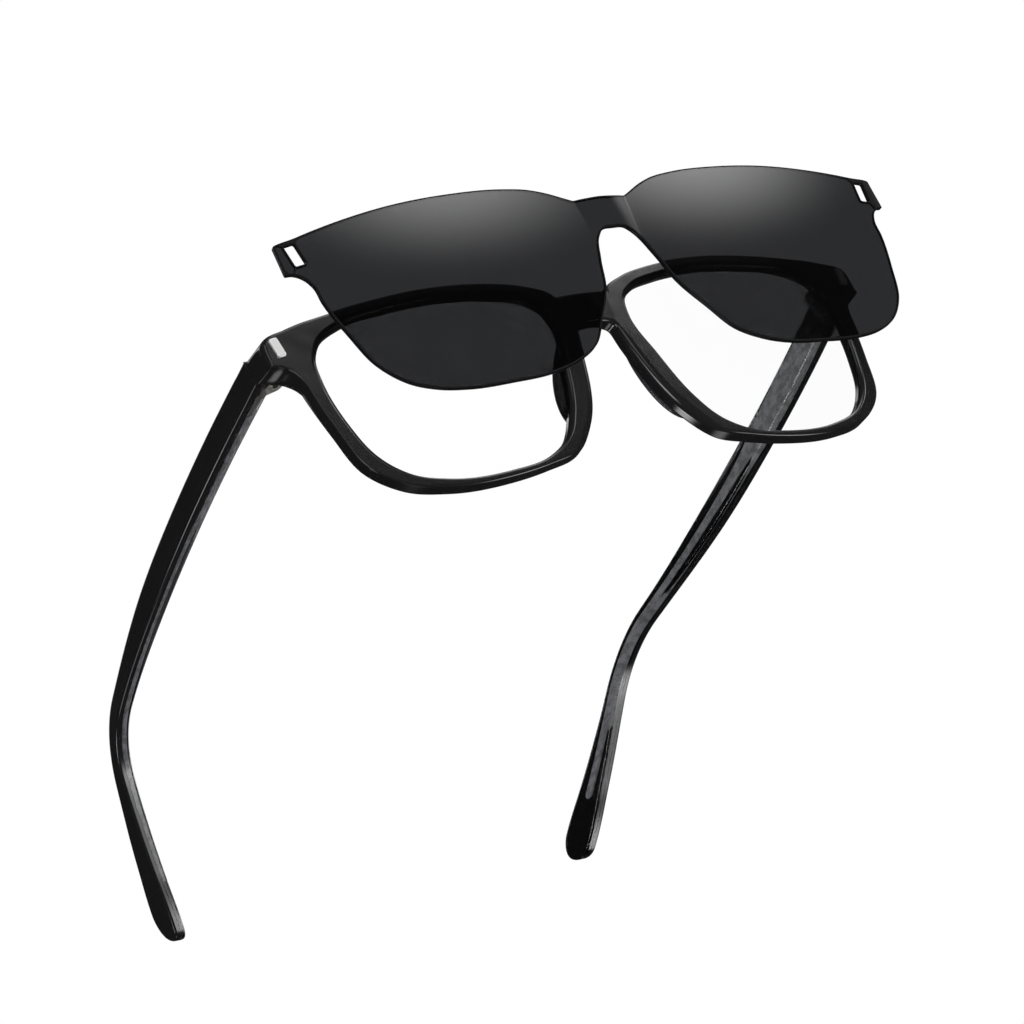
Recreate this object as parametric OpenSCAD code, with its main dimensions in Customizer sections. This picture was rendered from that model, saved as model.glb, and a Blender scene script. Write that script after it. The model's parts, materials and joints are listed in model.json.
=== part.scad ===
// Spectacle frame with metal-cored temples and a one-piece dark clip-on shield
// Millimetres. X runs across the face, Y runs back along the temples, Z is up.
// The frame stands on the lower rims and the temple tips, with its mirror plane at x = 0.

/* [Front] */
// Width of each lens opening
lens_w = 49.6; // [44:0.2:56]
// Height of each lens opening
lens_h = 37.2; // [32:0.2:44]
// Distance between the two openings
bridge_w = 18; // [15:0.2:23]
// Height of the openings' top above the middle of the plaques
lens_top = 3.9; // [3.4:0.1:5]
// Thickness of the front
front_t = 3.1; // [2.9:0.1:4.4]
// Radius to which each half of the front is bent, seen from above
wing_r = 680; // [400:10:1200]
// Angle at which each half of the front leaves the bridge
wing_slope = 2.6; // [1:0.1:5]
// Radius of the crowned bridge face, seen from above
bridge_r = 39; // [30:1:80]
// Half width of the bridge face between its two creases
crease_x = 5.6; // [4.4:0.1:6.6]

/* [Rim widths] */
// Rim width at the upper inner corner, beside the bridge
rim_brow = 4.4; // [3.6:0.1:5]
// Rim width along the top
rim_top = 2.8; // [2.2:0.1:4]
// Rim width on the side of the temples
rim_side = 3.4; // [2.8:0.1:4.4]
// Rim width along the bottom
rim_low = 1.5; // [1.4:0.1:3]
// Rim width on the side of the nose
rim_nose = 5; // [4:0.1:5.6]

/* [Bridge and end pieces] */
// Height of the bridge's top edge above the middle of the plaques
bridge_top = 0.4; // [-0.6:0.1:1.4]
// Height of the bridge between the rims
bridge_h = 6.4; // [5:0.1:8]
// Reach of the end piece beyond the opening
end_reach = 8.6; // [8:0.1:11]
// Height of the end piece above the middle of the plaque
end_top = 2.4; // [2.2:0.1:3]
// Depth of the end piece below the middle of the plaque
end_low = 3.5; // [3.3:0.1:4.2]
// Depth of the end piece from the plaque back to the joint
end_depth = 6.3; // [5.6:0.1:8]
// Flare of the end piece from its front edge out to the temple
end_flare = 0.4; // [0:0.1:0.8]
// Length of the end piece inwards from its outer end
end_inner = 6.8; // [6.2:0.1:7.4]

/* [Lenses] */
// Thickness of a lens
lens_t = 1.8; // [1.2:0.1:2]
// Depth of the groove that holds the lens
groove = 0.6; // [0.4:0.1:1]
// Clearance of the lens in its groove
lens_play = 0.04; // [0.02:0.01:0.1]

/* [Nose pads] */
// Length of a nose pad
pad_len = 16; // [12:0.5:18]
// Width of a nose pad
pad_w = 6; // [5:0.2:6.4]
// Height to which a nose pad stands behind the rim
pad_rise = 2.8; // [2.5:0.1:3.2]

/* [Plaques] */
// Width of a plaque
plaque_w = 1.8; // [1.2:0.1:2.4]
// Height of a plaque
plaque_h = 4.1; // [3:0.1:4.3]
// Distance of a plaque from the outer end of the front
plaque_in = 2.7; // [2.5:0.1:3.2]
// Height to which a plaque stands proud of the front
plaque_rise = 0.55; // [0.45:0.05:0.6]
// Depth to which a plaque is let into the front
plaque_sunk = 0.8; // [0.5:0.1:1.2]
// Lean of a plaque, its top further out than its foot
plaque_lean = 7; // [0:0.5:9]

/* [Hinges] */
// Diameter of a hinge knuckle
knuckle_d = 3.2; // [2.8:0.1:3.4]
// Height of one knuckle
knuckle_h = 0.86; // [0.7:0.02:0.9]
// Gap between two knuckles
knuckle_gap = 0.06; // [0.04:0.01:0.1]
// Diameter of the hinge screw
screw_d = 1.4; // [1.2:0.1:1.6]
// Running fit of the screw in its knuckles, on the radius
screw_fit = 0.05; // [0.02:0.01:0.1]
// Diameter of the screw's head
head_d = 2.3; // [2:0.1:2.6]
// Height of the screw's head
head_h = 0.5; // [0.3:0.1:0.5]
// Distance of the hinge axis behind the joint
hinge_back = 1.9; // [1.8:0.1:2.2]
// Distance of the hinge axis from the outer face of the end piece
hinge_in = 4.6; // [4.4:0.1:5]
// Thickness of a hinge leaf
leaf_t = 1.1; // [0.8:0.1:1.3]
// Length of a hinge leaf inside the end piece
leaf_len = 3.6; // [2:0.1:4]
// Length of the temple's hinge leaf behind the axis
temple_leaf = 7; // [6:0.2:9]
// Width of the slot in the screw's head
screw_slot = 0.36; // [0.3:0.02:0.5]
// Clearance of the knuckles in the temple's pocket, on the radius
pocket_play = 0.25; // [0.2:0.01:0.3]

/* [Temples] */
// Length of a temple along its middle line
temple_len = 143; // [136:0.2:150]
// Straight length from the joint to the start of the bend
bend_start = 89.8; // [80:0.2:95]
// Angle of the bend behind the ear
bend_angle = 37; // [25:1:45]
// Radius of the bend behind the ear
bend_r = 30; // [20:1:45]
// Angle of the temple to the front, below a square stance
temple_pitch = 9.4; // [6:0.2:12]
// Height of the temple at the joint
temple_h = 5.6; // [5.2:0.1:5.8]
// Height of the temple at its waist, at the start of the bend
waist_h = 3.4; // [3:0.1:5]
// Height of the temple near its tip
tip_h = 8; // [6:0.1:10]
// Thickness of the temple at the joint
temple_t = 3.9; // [3.7:0.1:4.4]
// Thickness of the temple at its tip
tip_t = 2.4; // [2.2:0.1:3]
// Outward bow of the temple between the joint and the head
temple_bow = 1.4; // [0.6:0.1:2]
// Inward curve of the temple tip
tip_in = 18.5; // [12:0.5:22]
// Thickness of the outer layer
outer_t = 1.25; // [1:0.05:1.4]
// Gap of the joint between end piece and temple
joint_gap = 0.12; // [0.1:0.01:0.2]

/* [Temple core] */
// Height of the core plate
core_h = 4.4; // [3.6:0.1:4.6]
// Distance from the joint to the end of the core plate
plate_end = 41; // [32:1:50]
// Height of the core wire
wire_h = 1.8; // [1.4:0.1:2]
// Thickness of the core
core_t = 1.1; // [0.8:0.1:1.2]
// Distance of the core's end from the temple tip
core_short = 14; // [11:1:20]
// Clearance round the core
core_play = 0.05; // [0.03:0.01:0.1]
// Place of the core in the inner layer, as a share of the room from its inner face outwards
core_place = 0.68; // [0.4:0.02:0.8]

/* [Clip-on shield] */
// Thickness of the shield
shield_t = 0.9; // [0.7:0.1:1.2]
// Gap between the seated shield and the front
shield_gap = 0.25; // [0.2:0.05:0.3]
// Clearance of the plaque in the shield's slot
slot_play = 0.22; // [0.2:0.01:0.3]
// Distance by which the lifted shield stands forward of its seat
lift_forward = 15.7; // [10:0.1:30]
// Distance by which the lifted shield stands above its seat
lift_up = 8.3; // [0:0.1:12]

/* [Hidden] */

eps = 0.01;
// Points drawn between two neighbouring points of a curve
steps = 6;
// Length that cuts right through whatever it is drawn on
far = 400;
// Number of sides of a full circle as drawn, for large bends and for small bores
bend_fn = 1440;
bore_fn = 48;

// Places along X on the right half, from the mirror plane
open_x = bridge_w / 2;
end_x = open_x + lens_w + end_reach;
plaque_x = end_x - plaque_in;
hinge_x = end_x - hinge_in;

// Centres of the bends, placed so that the front's face lies at y = 0 under the plaques
wing_cx = crease_x - wing_r * sin(wing_slope);
wing_cy = sqrt(pow(wing_r, 2) - pow(plaque_x - wing_cx, 2));
crease_y = face_y(crease_x);
bridge_cy = crease_y + sqrt(pow(bridge_r, 2) - pow(crease_x, 2));

// Depth of the slot in the screw's head, as a share of the head
slot_share = 0.5;
// Distance from the knuckles back to the temple's hinge leaf, and the hold of a web on that leaf
leaf_clear = 0.3;
web_hold = 0.8;
// Length of the temple's rounded end as a share of its height
tip_round = 0.62;

// Height of the stack of five knuckles
stack_h = 5 * knuckle_h + 4 * knuckle_gap;
// Height of the temple's middle line against the middle of the plaques, at the joint
joint_z = -0.4;

// Smooth curves through points: slope at the middle point of three, and one span between two
function gap_of(a, b) = max(norm(b - a), eps);
function slope_at(a, b, c) =
    let (d0 = gap_of(a, b), d1 = gap_of(b, c))
    ((b - a) / d0 * d1 + (c - b) / d1 * d0) / (d0 + d1);
function span(p, q, m, n, t) =
    let (d = gap_of(p, q))
    p * (1 + 2 * t) * pow(1 - t, 2) + m * d * t * pow(1 - t, 2)
    + q * t * t * (3 - 2 * t) + n * d * t * t * (t - 1);
function ring_slope(p, i) =
    slope_at(p[(i + len(p) - 1) % len(p)], p[i], p[(i + 1) % len(p)]);
function ring_curve(p) = [
    for (i = [0 : len(p) - 1])
        let (j = (i + 1) % len(p))
        for (k = [0 : steps - 1])
            span(p[i], p[j], ring_slope(p, i), ring_slope(p, j), k / steps)
];
function line_slope(p, i) =
    i == 0 ? (p[1] - p[0]) / gap_of(p[0], p[1])
    : i == len(p) - 1 ? (p[i] - p[i - 1]) / gap_of(p[i - 1], p[i])
    : slope_at(p[i - 1], p[i], p[i + 1]);
function line_curve(p) = [
    for (i = [0 : len(p) - 2])
        for (k = [0 : steps - 1])
            span(p[i], p[i + 1], line_slope(p, i), line_slope(p, i + 1), k / steps),
    p[len(p) - 1]
];
// Value at x of the smooth line through points [x, value]
function along(p, x, i = 0) =
    x <= p[0].x ? p[0].y
    : i > len(p) - 2 ? p[len(p) - 1].y
    : x > p[i + 1].x ? along(p, x, i + 1)
    : span(p[i], p[i + 1], line_slope(p, i), line_slope(p, i + 1),
        (x - p[i].x) / (p[i + 1].x - p[i].x)).y;

// Point at a share of the opening's width and height
function in_box(share) = [open_x + share.x * lens_w, lens_top - lens_h + share.y * lens_h];
function outward(p, i) =
    let (s = ring_slope(p, i))
    [-s.y, s.x] / norm(s);

// Shape of the opening from its upper inner corner over the top, with the rim's width there
RIM = [
    [0.00, 0.76, rim_brow], [0.02, 0.86, rim_brow], [0.08, 0.92, (rim_brow + rim_top) / 2 - 0.3],
    [0.20, 0.965, rim_top + 0.2], [0.42, 1.00, rim_top], [0.66, 0.99, rim_top],
    [0.84, 0.955, rim_top + 0.3], [0.94, 0.89, rim_side + 0.9], [0.99, 0.79, rim_side + 0.9],
    [1.00, 0.68, rim_side + 0.2], [0.98, 0.42, rim_side - 0.2], [0.93, 0.22, rim_side + 0.3],
    [0.84, 0.085, (rim_side + rim_low) / 2 + 0.2], [0.70, 0.018, rim_low + 0.4], [0.44, 0.00, rim_low],
    [0.29, 0.028, rim_low + 0.1], [0.19, 0.10, (rim_low + rim_nose) / 2 + 0.1],
    [0.11, 0.25, rim_nose - 0.4], [0.04, 0.52, rim_nose + 0.2]
];
opening_points = [for (r = RIM) in_box(r)];
opening = ring_curve(opening_points);
rim_line = ring_curve([
    for (i = [0 : len(RIM) - 1]) opening_points[i] + RIM[i][2] * outward(opening_points, i)
]);
function grown(by) = ring_curve([
    for (i = [0 : len(RIM) - 1]) opening_points[i] + by * outward(opening_points, i)
]);

// Outline of the end piece: brow, outer end with its sharp lower corner, notch below it
END = concat(
    line_curve([
        [end_x - 13.2, lens_top + 1.1], [end_x - 9.2, lens_top + 0.6], [end_x - 5.7, end_top + 1.35],
        [end_x - 0.9, end_top], [end_x + end_flare - 0.3, end_top - 0.9], [end_x + end_flare, end_top - 2.6],
        [end_x + end_flare, -end_low + 0.1]
    ]),
    line_curve([
        [end_x + end_flare, -end_low], [end_x - 1.4, -end_low - 0.2], [end_x - 2.8, -end_low - 0.8],
        [end_x - 4.2, -end_low - 2.7], [end_x - 5.1, -end_low - 5.4]
    ]),
    [[end_x - 9.4, -end_low - 5.4], [end_x - 9.4, end_low - 2]]
);

// Outline of the shield's right half: brow, ear over the plaque, notch, lower edge, nose side
SHIELD = concat(
    [[0, bridge_top + 1.4], [crease_x + 0.2, bridge_top + 1.2]],
    line_curve([
        in_box([-0.04, 0.955]), in_box([0.03, 1.003]), in_box([0.10, 1.038]),
        in_box([0.20, 1.063]), in_box([0.44, 1.083]), in_box([0.685, 1.073]),
        in_box([0.867, 1.044]), in_box([1.028, 1.006]), [plaque_x - 0.6, 3.3],
        [plaque_x + 2, 2.7], [plaque_x + 3, 1.6], [plaque_x + 3.3, -0.4], [plaque_x + 3.4, -3.6]
    ]),
    line_curve([
        [plaque_x + 3.3, -3.7], [plaque_x + 2.1, -3.9], [plaque_x + 0.6, -4.8],
        [plaque_x - 0.7, -7], in_box([1.10, 0.62]), in_box([1.062, 0.411]), in_box([1.012, 0.223]),
        in_box([0.917, 0.089]), in_box([0.827, 0.035]), in_box([0.706, 0.003]),
        in_box([0.524, -0.005]), in_box([0.363, 0.003]), in_box([0.242, 0.04]),
        in_box([0.133, 0.116]), in_box([0.06, 0.25]), in_box([-0.02, 0.417]),
        in_box([-0.06, 0.586]), in_box([-0.101, 0.715]), in_box([-0.135, 0.757]),
        [0, bridge_top - 5.4]
    ])
);

// Temple seen from the side: middle line, heights and thickness against the length from the joint
arc_len = bend_r * bend_angle * PI / 180;
leg_start = bend_start + arc_len;
HEIGHTS = [
    [0, temple_h], [30, temple_h], [60, temple_h - 0.4], [bend_start, waist_h],
    [leg_start - 4, waist_h], [temple_len - 16, tip_h - 1.6], [temple_len - 6, tip_h],
    [temple_len, tip_h - 0.6]
];
WALLS = [
    [0, temple_t], [20, temple_t - 0.2], [60, temple_t - 0.5], [leg_start, tip_t + 0.5],
    [temple_len, tip_t]
];
// Distance of the temple's middle line outside the joint's, seen from above
BOW = [
    [0, 0], [20, temple_bow * 0.8], [40, temple_bow], [60, temple_bow * 0.5], [80, -tip_in * 0.07],
    [100, -tip_in * 0.25], [120, -tip_in * 0.53], [temple_len, -tip_in * 0.93]
];
joint_x = end_x + end_flare - temple_t / 2;
// Point [back, up] and heading of the middle line at a length from the joint
function heading(s) = bend_angle * min(1, max(0, (s - bend_start) / arc_len));
function middle(s) =
    s < bend_start ? [s, 0]
    : s < leg_start ? [bend_start + bend_r * sin(heading(s)), -bend_r * (1 - cos(heading(s)))]
    : [bend_start + bend_r * sin(bend_angle), -bend_r * (1 - cos(bend_angle))]
        + (s - leg_start) * [cos(bend_angle), -sin(bend_angle)];
function rib(s, h) = middle(s) + h * [sin(heading(s)), cos(heading(s))];
tip_base = temple_len - tip_h * tip_round;
// Lengths at which the temple is drawn, without its rounded end
STATIONS = concat(
    [for (s = [0 : 10 : 80]) s],
    [for (k = [0 : 8]) bend_start + k / 8 * arc_len],
    [for (k = [1 : 6]) leg_start + k / 6 * (tip_base - leg_start)]
);
function height_at(s) = along(HEIGHTS, s);
// Rounded end, a half ellipse that leans back at the top
TIP = [
    for (a = [75 : -15 : -75])
        rib(tip_base + tip_h * tip_round * cos(a), height_at(tip_base) / 2 * sin(a))
];
SIDE = concat(
    [for (s = STATIONS) rib(s, height_at(s) / 2)],
    TIP,
    [for (i = [len(STATIONS) - 1 : -1 : 0]) rib(STATIONS[i], -height_at(STATIONS[i]) / 2)]
);
// Across the temple: place of its outer face and of a depth below it, seen from above
function outer_face(s) = joint_x + along(BOW, s) + along(WALLS, s) / 2;
function inner_face(s) = outer_face(s) - along(WALLS, s);
function core_face(s) = inner_face(s) + core_place * (along(WALLS, s) - outer_t - core_t - core_play);
PLAN_STATIONS = concat([for (s = [0 : 8 : bend_start]) s], [for (k = [0 : 6])
    leg_start - 10 + k / 6 * (temple_len - leg_start + 10)]);
back_of = [for (s = PLAN_STATIONS) middle(s).x];

// Lean that brings the lower rims and the temple tips onto one level, from points [back, up]
function face_y(x) = wing_cy - sqrt(pow(wing_r, 2) - pow(x - wing_cx, 2));
function level(p, turn) = p.y * cos(turn) + p.x * sin(turn);
function lowest(points, turn) =
    let (least = min([for (p = points) level(p, turn)]))
    [for (p = points) if (level(p, turn) < least + eps) p][0];
foot_points = [for (p = rim_line) [face_y(p.x), p.y]];
tip_points = [
    for (p = SIDE)
        [end_depth + p.x * cos(temple_pitch) + p.y * sin(temple_pitch),
            joint_z - p.x * sin(temple_pitch) + p.y * cos(temple_pitch)]
];
function lean_from(turn) =
    let (foot = lowest(foot_points, turn), tip = lowest(tip_points, turn))
    atan2(foot.y - tip.y, tip.x - foot.x);
lean = lean_from(lean_from(temple_pitch / 2));
stand_h = -level(lowest(foot_points, lean), lean);

module placed() translate([0, 0, stand_h]) rotate([lean, 0, 0]) children();
module side(s) mirror([s < 0 ? 1 : 0, 0, 0]) children();
module both() {
    side(1) children();
    side(-1) children();
}
// From the joint's own frame, X across, Y back along the temple, Z across its height
module at_joint() translate([0, end_depth, joint_z]) rotate([-temple_pitch, 0, 0]) children();

// Outline drawn on the front and carried through from front to back
module through(points) translate([0, far / 4, 0]) rotate([90, 0, 0]) linear_extrude(far / 2) polygon(points);

// Bent sheet of the right half that starts a depth below the front's face
module wing_sheet(depth, thick) intersection() {
    translate([wing_cx, wing_cy, -far / 4]) linear_extrude(far / 2) difference() {
        circle(r = wing_r - depth, $fn = bend_fn);
        circle(r = wing_r - depth - thick, $fn = bend_fn);
    }
    translate([crease_x - eps, -far / 4, -far / 4]) cube([far / 2, far / 2, far / 2]);
}
module bridge_sheet(depth, thick) intersection() {
    translate([0, bridge_cy, -far / 4]) linear_extrude(far / 2) difference() {
        circle(r = bridge_r - depth, $fn = bend_fn / 4);
        circle(r = bridge_r - depth - thick, $fn = bend_fn / 4);
    }
    translate([-crease_x, -far / 8, -far / 4]) cube([2 * crease_x, far / 8 + bridge_cy / 2, far / 2]);
}
module bent_sheet(depth, thick) {
    both() wing_sheet(depth, thick);
    bridge_sheet(depth, thick);
}

// Bridge between the rims, arched below
bridge_arch = 0.9;
module bridge_outline() {
    half = open_x - 1.5;
    arch_r = (pow(crease_x, 2) + pow(bridge_arch, 2)) / 2 / bridge_arch;
    difference() {
        translate([-half, bridge_top - bridge_h - bridge_arch]) square([2 * half, bridge_h + bridge_arch]);
        translate([0, bridge_top - bridge_h - arch_r]) circle(r = arch_r, $fn = bend_fn / 4);
    }
}
module front_outline() {
    bridge_outline();
    for (m = [0, 1]) mirror([m, 0]) {
        polygon(rim_line);
        polygon(END);
    }
}

// Solid of the end piece from the front's face back to the joint
module end_block() difference() {
    intersection() {
        through([for (p = END) [max(p.x, end_x - end_inner), p.y]]);
        translate([wing_cx, wing_cy, -far / 4]) linear_extrude(far / 2) circle(r = wing_r, $fn = bend_fn);
    }
    at_joint() translate([-far / 4, -joint_gap, -far / 4]) cube([far, far, far / 2]);
    end_cut();
}
// What the flared outer end leaves away in front
module end_cut() translate([end_x, 0, 0]) rotate([0, 0, -atan2(end_flare, end_depth)])
    translate([0, -far / 4, -far / 4]) cube([far / 4, far / 2, far / 2]);

// Local frame of a plaque: X across, Y into the front, Z up, the face at y = 0
module at_plaque() translate([plaque_x, 0, 0]) rotate([0, 0, asin((plaque_x - wing_cx) / wing_r)])
    rotate([0, plaque_lean, 0]) children();
module plaque_block(rise, play) translate([-plaque_w / 2 - play, -rise, -plaque_h / 2 - play])
    cube([plaque_w + 2 * play, rise + plaque_sunk + play, plaque_h + 2 * play]);

// Local frame of a hinge: origin on the axis at half height, X across, Y back, Z along the axis
module at_hinge() at_joint() translate([hinge_x, hinge_back, 0]) children();
module knuckle(i) translate([0, 0, -stack_h / 2 + i * (knuckle_h + knuckle_gap)])
    cylinder(h = knuckle_h, d = knuckle_d, $fn = bore_fn);
module web(i, x0, x1, y0, y1, play = 0)
    translate([x0, y0, -stack_h / 2 + i * (knuckle_h + knuckle_gap) - play])
        cube([x1 - x0, y1 - y0, knuckle_h + 2 * play]);
module screw_bore() cylinder(h = 2 * stack_h, r = screw_d / 2 + screw_fit, center = true, $fn = bore_fn);
module front_leaf(play) translate([-leaf_t / 2 - play, -hinge_back - leaf_len - play, -stack_h / 2 - play])
    cube([leaf_t + 2 * play, leaf_len - joint_gap + play, stack_h + 2 * play]);

module front_frame() color("#101012") placed() difference() {
    union() {
        difference() {
            intersection() {
                bent_sheet(0, front_t);
                translate([0, far / 4, 0]) rotate([90, 0, 0]) linear_extrude(far / 2) front_outline();
            }
            both() end_cut();
        }
        both() end_block();
    }
    both() {
        through(opening);
        intersection() {
            wing_sheet((front_t - lens_t) / 2 - lens_play, lens_t + 2 * lens_play);
            through(grown(groove + lens_play));
        }
        at_plaque() plaque_block(plaque_rise, lens_play);
        at_hinge() translate([0, eps, 0]) front_leaf(core_play);
    }
}
module lens() color("#dfe6e8", 0.35) placed() intersection() {
    wing_sheet((front_t - lens_t) / 2, lens_t);
    through(grown(groove));
}

// Nose pad: a rounded shell behind the nose side of the rim
pad_at = [0.045, 0.45];
pad_turn = 16;
pad_gap = 0.1;
module nose_pad() color("#6d6a66", 0.8) placed() {
    seat = in_box(pad_at) - [rim_nose / 2, 0];
    back = wing_cy - sqrt(pow(wing_r - front_t - pad_gap, 2) - pow(seat.x - wing_cx, 2));
    translate([seat.x, back, seat.y])
        rotate([0, -pad_turn, 0]) rotate([0, 0, wing_slope]) intersection() {
            hull() for (k = [-1, 1])
                translate([0, pad_rise - pad_w / 2, k * (pad_len - pad_w) / 2]) sphere(d = pad_w, $fn = 32);
            translate([-pad_w, 0, -pad_len]) cube([2 * pad_w, pad_w, 2 * pad_len]);
        }
}
module plaque() color("#d6d7d8") placed() at_plaque() plaque_block(plaque_rise, 0);

module hinge_front() color("#cfc8ba") placed() at_hinge() difference() {
    union() {
        front_leaf(0);
        for (i = [1, 3]) {
            knuckle(i);
            web(i, -leaf_t / 2, leaf_t / 2, -hinge_back - joint_gap - eps, 0);
        }
    }
    screw_bore();
}
module hinge_screw() color("#c9c4bb") placed() at_hinge() difference() {
    union() {
        cylinder(h = stack_h, d = screw_d, center = true, $fn = bore_fn);
        translate([0, 0, stack_h / 2 + knuckle_gap]) cylinder(h = head_h, d = head_d, $fn = bore_fn);
        translate([0, 0, stack_h / 2 - eps]) cylinder(h = knuckle_gap + 2 * eps, d = screw_d, $fn = bore_fn);
    }
    translate([-head_d, -screw_slot / 2, stack_h / 2 + knuckle_gap + head_h * (1 - slot_share)])
        cube([2 * head_d, screw_slot, head_h]);
}

// Band of the temple between two depths, seen from above, carried through its height
function face_points(kind, by) = [
    for (i = [0 : len(PLAN_STATIONS) - 1])
        let (s = PLAN_STATIONS[i])
        [(kind == 0 ? outer_face(s) : kind == 1 ? inner_face(s) : core_face(s)) + by, back_of[i]]
];
function turned(p) = [for (i = [len(p) - 1 : -1 : 0]) p[i]];
module band(a, b) translate([0, 0, -far / 4]) linear_extrude(far / 2) polygon(concat(a, turned(b)));
module side_view(points) translate([-far / 2, 0, 0]) rotate([90, 0, 90]) linear_extrude(far) polygon(points);

// Core seen from the side, from the hinge leaf back, grown by a clearance
leaf_end = hinge_back + temple_leaf;
core_end = temple_len - core_short;
CORE_HEIGHTS = [
    [0, core_h], [plate_end - 6, core_h], [plate_end + 4, wire_h + 0.6], [plate_end + 14, wire_h],
    [core_end, wire_h]
];
CORE_STATIONS = concat(
    [plate_end - 6, plate_end - 3, plate_end, plate_end + 4, plate_end + 9, plate_end + 14],
    [for (k = [0 : 8]) bend_start + k / 8 * arc_len]
);
function core_side(from, play) = concat(
    [rib(from - play, core_h / 2 + play)],
    [for (s = CORE_STATIONS) rib(s, along(CORE_HEIGHTS, s) / 2 + play)],
    [rib(core_end + play, wire_h / 2 + play), rib(core_end + play, -wire_h / 2 - play)],
    [for (i = [len(CORE_STATIONS) - 1 : -1 : 0])
        rib(CORE_STATIONS[i], -along(CORE_HEIGHTS, CORE_STATIONS[i]) / 2 - play)],
    [rib(from - play, -core_h / 2 - play)]
);
module core_solid(from, play) intersection() {
    band(face_points(2, core_t + play), face_points(2, -play));
    side_view(core_side(from, play));
}
plate_start = hinge_back + knuckle_d / 2 + leaf_clear;
module temple_web(i, play) web(i, 0, core_face(plate_start) + core_t / 2 - hinge_x, 0,
    plate_start - hinge_back + web_hold + play, play);

module temple_outer() color("#101012") placed() at_joint() intersection() {
    band(face_points(0, 0), face_points(0, -outer_t));
    side_view(SIDE);
}
module temple_inner() color("#d9dcdc", 0.4) placed() at_joint() difference() {
    intersection() {
        band(face_points(0, -outer_t), face_points(1, 0));
        side_view(SIDE);
    }
    core_solid(plate_start, core_play);
    translate([hinge_x, hinge_back, 0]) {
        cylinder(h = far / 8, r = knuckle_d / 2 + pocket_play, center = true, $fn = bore_fn);
        translate([-far / 8, -far / 8, -far / 16]) cube([far / 8 + leaf_t, far / 8 + knuckle_d / 2, far / 8]);
        for (i = [0, 2, 4]) temple_web(i, core_play);
    }
}
module hinge_temple() color("#cfc8ba") placed() at_joint() difference() {
    union() {
        intersection() {
            core_solid(plate_start, 0);
            translate([0, 0, -stack_h / 2]) cube([far, leaf_end, stack_h]);
        }
        for (i = [0, 2, 4]) translate([hinge_x, hinge_back, 0]) {
            knuckle(i);
            temple_web(i, 0);
        }
    }
    translate([hinge_x, hinge_back, 0]) screw_bore();
}
module core() color("#b9bcbe") placed() at_joint() difference() {
    core_solid(plate_start, 0);
    translate([0, 0, -far / 4]) cube([far, leaf_end + core_play, far / 2]);
}

shield_line = concat(SHIELD, [for (p = turned(SHIELD)) if (p.x > 0) [-p.x, p.y]]);
module clip_shield() color("#3b3b3e", 0.75) placed() translate([0, -lift_forward, lift_up]) difference() {
    intersection() {
        bent_sheet(-shield_gap - shield_t, shield_t);
        through(shield_line);
    }
    both() at_plaque() plaque_block(far / 16, slot_play);
}

front_frame();
side(-1) lens();  // lens_left
side(1) lens();  // lens_right
side(-1) nose_pad();  // nose_pad_left
side(1) nose_pad();  // nose_pad_right
side(-1) plaque();  // plaque_left
side(1) plaque();  // plaque_right
side(-1) hinge_front();  // hinge_front_left
side(1) hinge_front();  // hinge_front_right
side(-1) hinge_temple();  // hinge_temple_left
side(1) hinge_temple();  // hinge_temple_right
side(-1) hinge_screw();  // hinge_screw_left
side(1) hinge_screw();  // hinge_screw_right
side(-1) temple_outer();  // temple_outer_left
side(1) temple_outer();  // temple_outer_right
side(-1) temple_inner();  // temple_inner_left
side(1) temple_inner();  // temple_inner_right
side(-1) core();  // core_left
side(1) core();  // core_right
clip_shield();
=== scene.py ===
"""Acetate spectacles with metal-cored temples and a dark clip-on shield, built over their CAD frame."""
import json
import math
from types import SimpleNamespace

import bpy
import numpy as np
from mathutils import Matrix, Vector
from mathutils.geometry import delaunay_2d_cdt

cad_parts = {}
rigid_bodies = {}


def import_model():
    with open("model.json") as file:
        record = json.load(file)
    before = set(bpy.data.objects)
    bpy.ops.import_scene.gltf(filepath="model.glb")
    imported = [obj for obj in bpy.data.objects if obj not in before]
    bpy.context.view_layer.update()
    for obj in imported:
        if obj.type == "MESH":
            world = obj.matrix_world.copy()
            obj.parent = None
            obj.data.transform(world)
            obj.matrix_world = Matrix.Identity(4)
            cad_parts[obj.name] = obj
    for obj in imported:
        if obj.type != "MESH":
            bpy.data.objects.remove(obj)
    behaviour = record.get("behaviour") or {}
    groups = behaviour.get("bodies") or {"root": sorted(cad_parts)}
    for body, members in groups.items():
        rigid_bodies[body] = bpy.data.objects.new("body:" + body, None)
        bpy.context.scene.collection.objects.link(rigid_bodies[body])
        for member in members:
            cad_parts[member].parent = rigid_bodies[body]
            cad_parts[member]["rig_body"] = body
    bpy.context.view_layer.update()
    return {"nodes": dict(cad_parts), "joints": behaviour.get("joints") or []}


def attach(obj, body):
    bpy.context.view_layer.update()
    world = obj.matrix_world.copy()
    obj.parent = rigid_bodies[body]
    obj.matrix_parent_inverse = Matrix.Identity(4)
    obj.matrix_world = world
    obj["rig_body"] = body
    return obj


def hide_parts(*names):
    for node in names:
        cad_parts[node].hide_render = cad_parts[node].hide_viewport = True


bl_info = {
    "name": "Spectacles with clip-on shield",
    "version": (1, 0, 0),
    "blender": (4, 5, 0),
    "location": "3D View > Sidebar > Spectacles",
    "description": "Builds acetate spectacles, their hinges, cored temples and a dark clip-on shield",
    "category": "Object",
}

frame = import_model()
SIDES = {"right": 1, "left": -1}
MM = 0.001

# Lengths in millimetres: the step of a fine loop, the least rounding of an edge, the distance
# within which points merge, and the step over which a surface's slope is measured
FINE_STEP = 0.04
LEAST_ROUND = 0.02
MERGE = 0.004
PROBE = 0.01

# Shares: the most rounding, of a plate's thickness, and how much of a distance a point keeps
MOST_ROUND = 0.48
NEARLY = 0.97

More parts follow.
